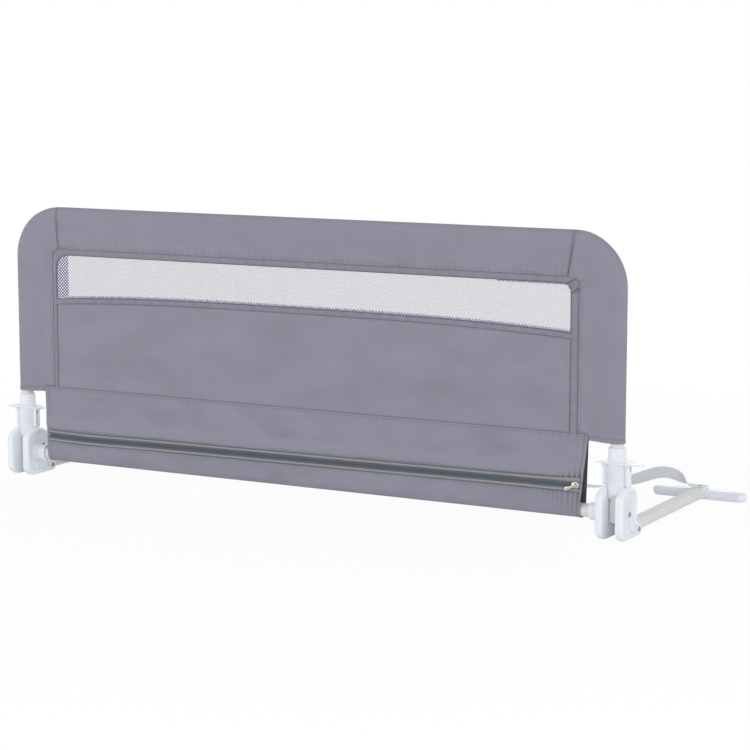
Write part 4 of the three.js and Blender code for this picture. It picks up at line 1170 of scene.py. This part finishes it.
class RAIL_OT_cover(bpy.types.Operator):
    """Sews the cloth: side sleeves, top sleeve, centre panel, lower band, bindings and stitching"""

    bl_idname = "rail.cover"
    bl_label = "Cloth cover"
    bl_options = {"REGISTER", "UNDO"}

    def execute(self, context):
        for side, name in SIDES:
            self.side_sleeve(side, name)
        self.top_sleeve()
        self.centre_panel()
        self.lower_band()
        self.bindings()
        self.stitching()
        return {"FINISHED"}

    def side_sleeve(self, side, name):
        """Up the post and round the corner, with an open hemmed skirt beside the band."""
        pucker = mm(sizes().pucker)
        widest = SIDE_REACH[side]
        open_at = POST_X - (BAND_RIGHT if side > 0 else -BAND_LEFT) - 0.4
        stops = [widest - step for step in (0, 1.4, 3, 4.4, 6, 9, 12)]
        stops += [open_at + 3, open_at, open_at - 3, open_at - 9, 29, 24, 20]
        stops.sort(reverse=True)
        section = sleeve_section(widest, SEAM_HALF, stops)
        low = BAND_Z + 0.4
        stations = []
        for z in spread(low, BEND_Z, 36)[:-1]:
            stations.append((Vector((POST_X, 0, z)), Vector((-1, 0, 0)), 0.0))
        for bend in spread(0, 1, 18):
            out = Vector((math.cos(TURN / 4 * bend), 0, math.sin(TURN / 4 * bend)))
            stations.append((Vector((BEND_X, 0, BEND_Z)) + out * BEND_RADIUS, -out, bend))
        rows = []
        for at, inward, bend in stations:
            reach = widest + (TOP_REACH - widest) * bend
            sewn = 1.0 if at.z <= low else hump(at.z - low, 24) * (1 - bend)
            row = []
            for a, b in section:
                out = math.copysign(1, b)
                # Flat where the band is sewn on between the two layers
                if abs(b) > SEAM_HALF:
                    b += (out * SEAM_HALF - b) * eased((a - 18) / (open_at - 18)) * sewn
                near_seam = max(0.0, (a - 40) / 28)
                # Narrower round the corner, where the top sleeve takes over
                if a > 20:
                    a = 20 + (a - 20) * (reach - 20) / (widest - 20)
                p = at + inward * a
                drawn = groove(a - reach + SIDE_STITCH)
                fold = pucker * (0.3 + 0.7 * near_seam) * wrinkle(p.x * 1.6, p.z * 0.8, 26, side * 3.0)
                fold += 0.35 * pucker * near_seam * gathers(p.z)
                # Tucks where the seam starts to turn the corner
                if a > 22 and p.z > 360:
                    fold += 0.9 * pucker * near_seam * hump(p.z - 402, 14) * math.sin((p.z - p.x) * 0.45)
                lean = corner_lean(side, p.z) * max(0.0, bend - 0.6) / 0.4
                place = p + Vector((lean, b + out * drawn + fold * (1 if a > 13 else 0.25), 0))
                # Painted shading: darker in folds and stitch grooves, lighter on ridges, and a painted shadow
                # along the corner seam
                row.append((place, out * fold + 2 * drawn - 1.2 * hump((1 - bend) * 120, 3)))
            rows.append(row)
        mesh = new_mesh()
        lowest = drape(mesh, rows)[0]
        self.skirt(mesh, [v for v, (a, b) in zip(lowest, section) if a <= open_at + 0.05])
        bmesh.ops.scale(mesh, verts=mesh.verts, vec=(side, 1, 1))
        cover_piece(f"{name}_side_cloth", f"{name}_side_sleeve", mesh, (0.177, 0.367), [f"{name}_post"])

    def skirt(self, mesh, row):
        """Carries the free part of a side sleeve down to its hem."""
        # Height, how far it stands out of the cloth, and painted shade, dark along the top of the hem
        hem = [(BAND_Z - 2.4, 0.0, -2), (BAND_Z - 3.0, 0.4, -2), (BAND_Z - 3.9, 0.45, 0)]
        hem += [(SKIRT_Z + 0.6, 0.5, 0), (SKIRT_Z, 0.1, 0)]
        rings = []
        for z, proud, _ in hem:
            ring = []
            for vert in row:
                away = Vector((vert.co.x - POST_X, vert.co.y, 0))
                if vert.co.x < POST_X - 8:
                    away = Vector((0, math.copysign(1, vert.co.y), 0))
                ring.append(Vector((vert.co.x, vert.co.y, z)) + away.normalized() * proud)
            rings.append(ring)
        side, length, painted_shading = layers_of(mesh)
        for grown, (_, _, shade) in zip(grow(mesh, row, rings, closed=False)[1:], hem):
            for vert, above in zip(grown, row):
                vert[painted_shading] = shade
                vert[side] = above[side]
                vert[length] = vert.co.z - BAND_Z

    def top_sleeve(self):
        """Over the top tube, drawn in at the window seam and at both slanted end seams."""
        pucker = mm(sizes().pucker)
        stops = [TOP_REACH, 60, 58.6, 57.2, 54, 48, 42, 36, 30, 25, 20]
        section = sleeve_section(TOP_REACH, SEAM_HALF, stops)
        rows = []
        for x in spread(0.2 - BEND_X, BEND_X - 0.2, 260):
            from_end = BEND_X - abs(x)
            row = []
            for a, b in section:
                z = TOP_Z - a
                near_seam = max(0.0, (a - 30) / 31)
                drawn = groove(a - TOP_REACH + TOP_STITCH)
                fold = pucker * (0.35 + 0.65 * near_seam) * wrinkle(x * 0.7, z * 1.5, 30, 11.0)
                fold += 0.55 * pucker * near_seam * gathers(x)
                fold += 0.8 * pucker * math.exp(-from_end / 14) * math.sin(z * 0.62)
                lean = math.copysign(1, x) * corner_lean(x, z) * max(0.0, 1 - from_end / 60)
                out = math.copysign(1, b)
                place = Vector((x + lean, b + out * drawn + fold * (1 if a > 13 else 0.25), z))
                # Painted shading: darker in folds and stitch grooves, lighter on ridges, and painted shadow
                # at the end seams
                row.append((place, out * fold + 2 * drawn - 1.6 * hump(from_end, 3)))
            rows.append(row)
        mesh = new_mesh()
        drape(mesh, rows)
        cover_piece("top_cloth", "top_sleeve", mesh, (1.003, 0.165), ["top_tube"])

    def centre_panel(self):
        """Single layer under the window, slightly wavy, drawn in towards its seams."""
        pucker = mm(sizes().pucker)
        rows = []
        for x in spread(SEAM_LEFT, SEAM_RIGHT, 240):
            row = []
            for z in spread(BAND_Z - 0.8, sill(x) - SILL_BINDING + 0.8, 30):
                edge = min(z - BAND_Z, sill(x) - SILL_BINDING - z)
                fold = 1.1 * pucker * wrinkle(x * 0.45, z, 48, 21.0) * min(1.0, edge / 12)
                fold += 0.55 * pucker * math.exp(-edge / 9) * gathers(x * 0.9) * min(1.0, edge / 2)
                fold += 0.5 * pucker * math.exp(-min(SEAM_RIGHT - x, x - SEAM_LEFT) / 14) * math.sin(z * 0.4)
                fold = fold if edge > 0 else 0
                # Painted shading: darker in the hollows of the folds, lighter on their ridges
                row.append((Vector((x, fold, z)), -fold))
            rows.append(row)
        mesh = new_mesh()
        drape(mesh, rows, closed=False)
        rests = ["right_side_cloth", "left_side_cloth"]
        cover_piece("panel_cloth", "centre_panel", mesh, (1.023, 0.163), rests, wall=1.1, middle=True)

    def lower_band(self):
        """Round the bottom tube and up to the band seam, its ends leaning in, gathered at the right."""
        pucker = mm(sizes().pucker)
        reach = BAND_Z - PIVOT_Z
        stops = [reach, reach - 1.4, reach - 3, reach - 5] + spread(reach - 9, 7, 22)
        section = sleeve_section(reach, SEAM_HALF, stops, 30)
        places = [BAND_LEFT + i * 1.8 for i in range(10)] + spread(BAND_LEFT + 19, BAND_RIGHT - 90, 160)
        places += spread(BAND_RIGHT - 88, BAND_RIGHT, 60)
        rows = []
        for x in places:
            from_right = BAND_RIGHT - x
            from_left = x - BAND_LEFT
            row = []
            for a, b in section:
                z = PIVOT_Z + a
                share = min(1.0, (BAND_Z - z) / reach)
                edge = reach - a
                over_zip = z - zip_height(x)
                fold = 0.8 * pucker * wrinkle(x * 0.5, z, 40, 31.0) * min(1.0, edge / 14)
                fold += 0.6 * pucker * math.exp(-edge / 7) * gathers(x) * min(1.0, edge / 2)
                if b < 0:
                    # Rolls over the zip, drawn in by the rows of stitches on both sides of it
                    fold += 1.1 * hump(over_zip - 22, 9)
                    fold -= hump(over_zip - 10.5, 3) + 0.6 * hump(over_zip + 11, 3)
                    # Gathers beside the zip that fade away from the right end
                    near_zip = 0.12 + hump(over_zip - 12, 17) + 0.6 * hump(over_zip + 20, 14)
                    uneven = from_right * TURN / 9.5 + 2.0 * wrinkle(x, z * 0.3, 24, 41.0)
                    gather = math.sin(uneven) * math.exp(-from_right / 34)
                    fold += 2.3 * gather * near_zip * min(1.0, edge / 16)
                hem = 0.5 if from_left < 8 or from_right < 5 else 0.0
                facing = Vector((0, math.copysign(1, b), 0)) if a > 2 else Vector((0, b, a)).normalized()
                soft = 1 if a > 2 else max(0.2, 1 + a / 10)
                if abs(b) <= SEAM_HALF:
                    facing = Vector((0, 0, 0))
                lean = BAND_LEFT_TAPER * share * max(0.0, 1 - from_left / 90)
                lean -= BAND_RIGHT_TAPER * share * max(0.0, 1 - from_right / 90)
                place = Vector((x + lean, b, z)) + facing * (hem + fold * soft * (1 if b < 0 else 0.8))
                # Painted shading: darker in folds, a painted shadow under the cloth that rolls over the zip,
                # and painted shade along the hems at both ends
                shade = 0.7 * (fold if b < 0 else 0) - 0.8 * hump(over_zip - 11, 3)
                shade -= 2.0 * hump(from_left - 7.5, 1.3) + 1.6 * hump(from_right - 6.0, 1.3)
                row.append((place, fold + shade))
            rows.append(row)
        mesh = new_mesh()
        drape(mesh, rows)
        cover_piece("band_cloth", "lower_band", mesh, (1.06, 0.285), ["base_tube"])

    def strip(self, mesh, pairs, half, tucks=()):
        """Flat sewn strip between two rows of places, drawn in along its stitches."""
        marks = [(0, 0.45), (0.05, 0.6), (0.1, 0.6), (0.16, 1.0), (0.35, 1.15), (0.65, 1.15)]
        marks += [(1 - share, thick) for share, thick in reversed(marks[:4])]
        rows = []
        for k, (inner, outer) in enumerate(pairs):
            swell = 1 + 0.2 * math.sin(k * 1.7) * math.cos(k * 0.45)
            if k in tucks:
                swell += 0.5 * (math.sin(k * 2.1) + math.sin(k * 3.7))
            front, back = [], []
            for share, thick in marks:
                thick *= swell if 0.12 < share < 0.88 or k in tucks else 1
                place, up = inner.lerp(outer, share), Vector((0, half * thick, 0))
                # Painted shade in the stitch grooves, painted highlight where the strip swells
                shade = min(1.0, 2.6 * (thick - 1.05))
                front.append((place - up, shade))
                back.append((place + up, shade))
            rows.append(front + back[::-1])
        drape(mesh, rows, capped=True)

    def window_frame(self):
        """Inner and outer edge of the binding: up the right side, over the window and down the left."""
        pairs = []
        for side, inner, radius in ((1, WINDOW_RIGHT, 15.0), (-1, WINDOW_LEFT, 25.0)):
            half = []
            outer = (SEAM_RIGHT if side > 0 else SEAM_LEFT) + side * SEAM_LAP
            margin = BEND_RADIUS - SIDE_REACH[side]
            for z in spread(BAND_Z + 0.5, HEAD_Z - radius - 3, 34):
                half.append((Vector((inner, 0, z)), Vector((outer, 0, z))))
            for angle in spread(0, TURN / 4, 12):
                across, up = math.cos(angle), math.sin(angle)
                tuck = 1 + (0.2 * math.sin(angle * 13) if side > 0 else 0.03 * math.sin(angle * 12))
                drawn = radius * tuck
                near = Vector((inner - side * drawn * (1 - across), 0, HEAD_Z - drawn * (1 - up)))
                reach = margin + (BEND_RADIUS - TOP_REACH - margin) * angle / (TURN / 4) + SEAM_LAP
                half.append((near, Vector((side * (BEND_X + reach * across), 0, BEND_Z + reach * up))))
            pairs.append(half)
        right, left = pairs
        over = []
        for x in spread(478, -484, 160):
            over.append((Vector((x, 0, HEAD_Z)), Vector((x, 0, TOP_SEAM_Z + SEAM_LAP))))
        return right + over + left[::-1]

    def bindings(self):
        """Sewn strips round and under the window; those at the sides run down to the band."""
        mesh = new_mesh()
        # Where the strip is tucked to go round the right corner
        corner = range(34, 47)
        self.strip(mesh, self.window_frame(), 1.5, corner)
        nodes = ["top_binding", "right_binding"]
        make_piece("window_frame_binding", mesh, "binding", "swing_frame", nodes, "binding", 50)

        mesh = new_mesh()
        edge = []
        for x in spread(WINDOW_LEFT - 2, WINDOW_RIGHT + 2, 168):
            edge.append((Vector((x, 0, sill(x))), Vector((x, 0, sill(x) - SILL_BINDING))))
        self.strip(mesh, edge, 1.25)
        make_piece("window_sill_binding", mesh, "binding", "swing_frame", ["bottom_binding"], "binding", 50)

    def stitching(self):
        """Rows of stitches along every seam, on the front and on the back."""
        groups = {"window": new_mesh(), "seam": new_mesh(), "hem": new_mesh()}
        frame_edges = self.window_frame()
        # Faces of a seam and of the band's doubled hem, from the middle of the cloth
        seam_face, hem_face = 0.85, 1.5
        for y in (-1, 1):
            for share, width in ((0.05, 1.15), (0.93, 0.9)):
                line = [inner.lerp(outer, share) + Vector((0, y, 0)) for inner, outer in frame_edges]
                stitch_row(groups["window"], line, (0, y, 0), width)
            for drop in (1.2, SILL_BINDING - 1.2):
                across = spread(WINDOW_LEFT + 1, WINDOW_RIGHT - 1, 70)
                line = [Vector((x, y * seam_face, sill(x) - drop)) for x in across]
                stitch_row(groups["window"], line, (0, y, 0))
            for side, _ in SIDES:
                beside = side * (POST_X - SIDE_REACH[side] + SIDE_STITCH)
                line = [Vector((beside, y * seam_face, z)) for z in (BAND_Z + 3, BEND_Z - 6)]
                stitch_row(groups["seam"], line, (0, y, 0))
                slant = []
                for z in spread(417, 468, 8):
                    bulge = 1.3 + 10.6 * (z - 415) / 51
                    slant.append(Vector((side * (BEND_X + 1.4 + corner_lean(side, z)), y * bulge, z)))
                stitch_row(groups["seam"], slant, (0, y, 0))
            line = [Vector((x, y * seam_face, TOP_SEAM_Z + TOP_STITCH)) for x in (-498, 498)]
            stitch_row(groups["seam"], line, (0, y, 0))
            ends = (BAND_LEFT + 3, BAND_RIGHT - 4)
            line = [Vector((x, y * hem_face, BAND_Z - BAND_STITCH)) for x in ends]
            stitch_row(groups["hem"], line, (0, y, 0))
        for name, mesh in groups.items():
            make_piece(f"{name}_stitches", mesh, "stitch", "swing_frame", [], "binding", 80, weld=0.0001)


# Window net
class RAIL_OT_window(bpy.types.Operator):
    """Strings the window net as crossing strands, doubled along the sill and at the left end"""

    bl_idname = "rail.window"
    bl_label = "Window net"
    bl_options = {"REGISTER", "UNDO"}

    def execute(self, context):
        pitch = mm(sizes().net_pitch)
        width = mm(sizes().net_strand)
        left, right = WINDOW_LEFT - 4, WINDOW_RIGHT + 4
        doubled = WINDOW_LEFT + 25
        low, high = sill(SEAM_RIGHT) - 3, HEAD_Z + 2
        mesh = new_mesh()
        self.strands(mesh, pitch, width, (doubled - 1, right), (low, high), 0.0)
        piece = make_piece("window_mesh", mesh, "net", "swing_frame", ["window_net"], "net", 60, weld=0.0001)

        # Doubled edges at the left end, along the sill and at the right end of the head
        mesh = new_mesh()
        coarse = pitch * 1.35
        self.strands(mesh, coarse, width * 1.45, (left, doubled), (low, high), 0.0)
        self.strands(mesh, coarse, width * 0.7, (doubled, right), (-2.0, 3.6), -0.8, sill)
        self.strands(mesh, coarse, width * 0.9, (WINDOW_RIGHT - 130, right), (HEAD_Z - 2.2, high), -0.8)
        make_piece("window_mesh_hem", mesh, "net_edge", "swing_frame", [], "net", 60, weld=0.0001)
        return {"FINISHED"}

    def strands(self, mesh, pitch, width, across, heights, back, bow=None):
        """Two sets of slanting strands, one over the other, trimmed to a rectangle."""
        others = set(mesh.verts)
        (x0, x1), (z0, z1) = across, heights
        high = z1 - z0
        for sense in (1, -1):
            made = bmesh.ops.create_cube(mesh, size=1.0)["verts"]
            bmesh.ops.scale(mesh, verts=made, vec=(width, 0.5, high * 1.5 + width * 2))
            slant = Matrix.Rotation(sense * TURN / 8, 3, "Y")
            bmesh.ops.rotate(mesh, verts=made, cent=(0, 0, 0), matrix=slant)
            middle = (z0 + z1) / 2
            # Every part of the net keeps the same places for its strands
            first = x0 - high + (sense * middle - x0 + high) % pitch
            bmesh.ops.translate(mesh, verts=made, vec=(first, back + sense * 0.17, middle))
            repeated(mesh, made, pitch, int((x1 - x0 + 2 * high) / pitch))
        sides = [((x0, 0, 0), (-1, 0, 0)), ((x1, 0, 0), (1, 0, 0))]
        sides += [((0, 0, z0), (0, 0, -1)), ((0, 0, z1), (0, 0, 1))]
        for place, facing in sides:
            verts = [v for v in mesh.verts if v not in others]
            edges = {e for v in verts for e in v.link_edges}
            faces = {f for v in verts for f in v.link_faces}
            bmesh.ops.bisect_plane(
                mesh, geom=verts + list(edges) + list(faces), dist=0.0001,
                plane_co=place, plane_no=facing, clear_outer=True,
            )
        bmesh.ops.holes_fill(mesh, edges=[e for e in mesh.edges if e.is_boundary], sides=8)
        if bow:
            for vert in mesh.verts:
                if vert not in others:
                    vert.co.z += bow(vert.co.x)


# Zipper, made about its own middle line from its right end, X along it and -Y out of the band
ZIP_LENGTH = ZIP_RIGHT[0] - ZIP_LEFT[0]
SLIDER_X = -8.0


def zip_seat():
    """Where the zip lies on the band's slanting front."""
    lean = math.asin((CLOTH_RADIUS - SEAM_HALF) / (BAND_Z - PIVOT_Z))
    tilt = math.asin((ZIP_RIGHT[1] - ZIP_LEFT[1]) / ZIP_LENGTH)
    front = SEAM_HALF + (BAND_Z - ZIP_RIGHT[1]) * math.tan(lean)
    place = Matrix.Translation((ZIP_RIGHT[0], -front, ZIP_RIGHT[1]))
    return place @ Matrix.Rotation(-lean, 4, "X") @ Matrix.Rotation(-tilt, 4, "Y")


def zip_piece(
    name, mesh, kind, body="swing_frame", nodes=(), slot="zip_metal", crisp=35.0, weld=0.005, turn=None
):
    """Seats a piece of the zip on the band; a turn is made about the zip's own middle line first."""
    bmesh.ops.transform(mesh, matrix=zip_seat() @ (turn or Matrix()), verts=mesh.verts)
    make_piece(name, mesh, kind, body, nodes, slot, crisp, weld=weld)


def fanned(side, x, z):
    """Height of a place on a tape: the tape's outer half fans out at its right end."""
    return z + (3.0 + side) * math.exp(x / 45) * max(0.0, z - 4) / 5.2


class RAIL_OT_zipper(bpy.types.Operator):
    """Sews in the zipper: stitched tapes, coil, end stops, slider and pull"""

    bl_idname = "rail.zipper"
    bl_label = "Zipper"
    bl_options = {"REGISTER", "UNDO"}

    def execute(self, context):
        for side, name in ((1, "upper"), (-1, "lower")):
            self.tape(side, name)
        self.coil()
        self.end_stops()
        self.slider()
        self.pull()
        return {"FINISHED"}

    def tape(self, side, name):
        """Ribbed tape with a rolled sewn edge, and its row of long stitches."""
        section = [(1.5, -0.35), (1.5, -1.0), (2.0, -1.3), (4.2, -1.2), (5.0, -0.85), (5.7, -1.4)]
        section += [(7.0, -1.6), (8.2, -1.55), (8.9, -1.2), (9.2, -0.7), (9.2, -0.35)]
        rings = []
        for x in spread(0, -ZIP_LENGTH, 170):
            ring = []
            for z, y in section:
                sway = 0.12 * math.sin(x * 1.1) + 0.16 * wrinkle(x, z, 9, 5.0 + side) if y < -0.5 else 0
                ring.append(Vector((x, y + sway, side * fanned(side, x, z) + zip_bow(x + ZIP_LENGTH))))
            rings.append(ring)
        mesh = new_mesh()
        loft(mesh, rings, capped=True)
        nodes = [f"zip_tape_{name}"]
        zip_piece(f"zip_tape_{name}_sewn", mesh, "tape", nodes=nodes, slot="zip_tape", crisp=50)
        # Height, finish and depth of a row, then width, length and pitch of its stitches
        rows = [(5.0, "stitch", -1.0, 0.6, 2.6, 3.4), (7.2, "tape_stitch", -1.55, 2.5, 2.8, 4.8)]
        rows += [(10.2, "stitch", -0.5, 0.8, 2.8, 3.4)]
        for z, kind, depth, width, length, pitch in rows:
            line = []
            for x in spread(-1, 4 - ZIP_LENGTH, 150):
                line.append(Vector((x, depth, side * fanned(side, x, z) + zip_bow(x + ZIP_LENGTH))))
            mesh = new_mesh()
            stitch_row(mesh, line, (0, -1, 0), width, length, pitch)
            zip_piece(f"zip_{name}_{kind}_{z:.0f}", mesh, kind, slot="zip_tape", crisp=80, weld=0.0001)

    def coil(self):
        """Two rows of flattened turns that mesh, over a cord."""
        pitch = mm(sizes().tooth_pitch)
        mesh = new_mesh()
        for side in (1, -1):
            made = bmesh.ops.create_icosphere(mesh, subdivisions=1, radius=1.0)["verts"]
            bmesh.ops.scale(mesh, verts=made, vec=(0.52, 0.85, 1.15))
            slant = Matrix.Rotation(side * 0.32, 3, "Y")
            bmesh.ops.rotate(mesh, verts=made, cent=(0, 0, 0), matrix=slant)
            start = 3 - ZIP_LENGTH + (pitch / 2 if side > 0 else 0)
            bmesh.ops.translate(mesh, verts=made, vec=(start, -1.1, side * 0.72))
            for vert in repeated(mesh, made, pitch, int((ZIP_LENGTH - 6) / pitch)):
                vert.co.z += zip_bow(vert.co.x + ZIP_LENGTH)
        cord = [(-0.35, -1.6), (-0.35, 1.6), (-0.9, 1.6), (-1.3, 0.9), (-1.0, 0), (-1.3, -0.9), (-0.9, -1.6)]
        rings = []
        for x in spread(0, -ZIP_LENGTH, 120):
            rings.append([Vector((x, y, z + zip_bow(x + ZIP_LENGTH))) for y, z in cord])
        loft(mesh, rings, capped=True)
        zip_piece("zip_teeth", mesh, "coil", nodes=["zip_coil"], slot="zip_coil", crisp=70, weld=0.0001)

    def end_stops(self):
        mesh = new_mesh()
        for x in (-1.2, 2.6 - ZIP_LENGTH):
            rounded_box(mesh, (2.2, 2.0, 7.0), (x, -1.3, zip_bow(x + ZIP_LENGTH)), 0.6, 2)
        zip_piece("zip_end_stops", mesh, "steel")

    def slider(self):
        """Body that narrows to the left, side flanges, the bridge for the pull, and a middle painted dark
        with its shadow.
        """
        outline = []
        for across, up in circle(1, 28):
            wide = 5.0 * (1 - 0.28 * max(0.0, -across - 0.2) / 0.8)
            across, up = [math.copysign(abs(share) ** 0.6, share) for share in (across, up)]
            outline.append((6.4 * across, wide * up))
        mesh = new_mesh()
        layers = ((0.92, -2.4), (1, -2.6), (1, -3.1), (0.94, -3.45), (0.8, -3.58))
        rings = [[Vector((SLIDER_X + a * k, y, b * k)) for a, b in outline] for k, y in layers]
        loft(mesh, rings, capped=True)
        for z in (3.1, -3.1):
            rounded_box(mesh, (9.6, 1.3, 1.5), (SLIDER_X, -2.0, z), 0.3, 2)
        arch = []
        for a in spread(0, math.pi, 10):
            arch.append(Vector((SLIDER_X + 2.6 * math.cos(a), -3.3 - 2.75 * math.sin(a) ** 0.8, 0)))
        half = ((1, 0.6), (0.7, 1), (-0.7, 1), (-1, 0.6))
        section = half + tuple((-z, -n) for z, n in half)
        rings = []
        for i, p in enumerate(arch):
            ahead = (arch[min(10, i + 1)] - arch[max(0, i - 1)]).normalized()
            normal = Vector((-ahead.y, ahead.x, 0)) * 0.38
            rings.append([p + Vector((0, 0, 1.1 * z)) + normal * n for z, n in section])
        loft(mesh, rings, capped=True)
        zip_piece("zip_runner", mesh, "zip_metal", "slider", ["zip_slider"])

        # The dark cap in the middle is painted shadow
        mesh = new_mesh()
        cap = [(0, 3.5), (3.0, 3.5), (3.3, 3.7), (3.0, 3.95), (1.2, 3.8), (0, 3.8)]
        turned(mesh, cap, (SLIDER_X, 0, 0), (0, -1, 0), 18)
        zip_piece("zip_runner_lock", mesh, "zip_dark", "slider")

    def pull(self):
        """Flat pull: an eye round the bridge, a waist and a tab with a raised rim and a bar."""
        half = [(0.4, 2.2), (0.5, 3.2), (-0.6, 3.6), (-2.6, 3.6), (-4.2, 2.9), (-5.4, 2.2), (-8, 2.0)]
        half += [(-11, 2.3), (-14, 3.0), (-16.6, 3.3), (-18.3, 2.6), (-18.95, 1.0)]
        outline = half + [(x, -z) for x, z in reversed(half)]
        mesh = new_mesh()
        layers = ((0.94, 0.55), (1, 0.35), (1, -0.35), (0.94, -0.55))
        rings = [[Vector((x * k - 9 * (1 - k), y, z * k)) for x, z in outline] for k, y in layers]
        loft(mesh, rings, capped=True)
        for front in (-1, 1):
            rim = [(1.05, 0.5), (2.0, 0.5), (1.9, 0.8), (1.2, 0.8)]
            turned(mesh, rim, (-15.3, 0, 0), (0, front, 0), 16)
            rounded_box(mesh, (7.0, 0.5, 1.0), (-9.5, front * 0.6, 0), 0.2, 2)
        droop = Matrix.Rotation(math.radians(-25), 4, "Y")
        turn = Matrix.Translation((SLIDER_X + 0.2, -4.35, 0)) @ droop
        zip_piece("zip_tab", mesh, "zip_metal", "pull", ["zip_pull"], turn=turn)


class RAIL_PT_panel(bpy.types.Panel):
    """Lists the operators, sizes and colours of the guard rail"""

    bl_label = "Guard rail"
    bl_space_type = "VIEW_3D"
    bl_region_type = "UI"
    bl_category = "Guard rail"

    def draw(self, context):
        for operator in OPERATORS:
            self.layout.operator(operator.bl_idname)
        for group in (context.scene.rail_sizes, context.scene.rail_colours):
            for name in group.__annotations__:
                self.layout.prop(group, name)


OPERATORS = [
    RAIL_OT_stage, RAIL_OT_strap, RAIL_OT_tubes, RAIL_OT_clamps, RAIL_OT_latches, RAIL_OT_legs,
    RAIL_OT_cover, RAIL_OT_window, RAIL_OT_zipper,
]
CLASSES = [RailSizes, RailColours] + OPERATORS + [RAIL_PT_panel]


def register():
    for kind in CLASSES:
        bpy.utils.register_class(kind)
    bpy.types.Scene.rail_sizes = PointerProperty(type=RailSizes)
    bpy.types.Scene.rail_colours = PointerProperty(type=RailColours)


def unregister():
    del bpy.types.Scene.rail_colours
    del bpy.types.Scene.rail_sizes
    for kind in reversed(CLASSES):
        bpy.utils.unregister_class(kind)


def main():
    register()
    for operator in OPERATORS:
        group, name = operator.bl_idname.split(".")
        getattr(getattr(bpy.ops, group), name)()


if __name__ == "__main__":
    main()
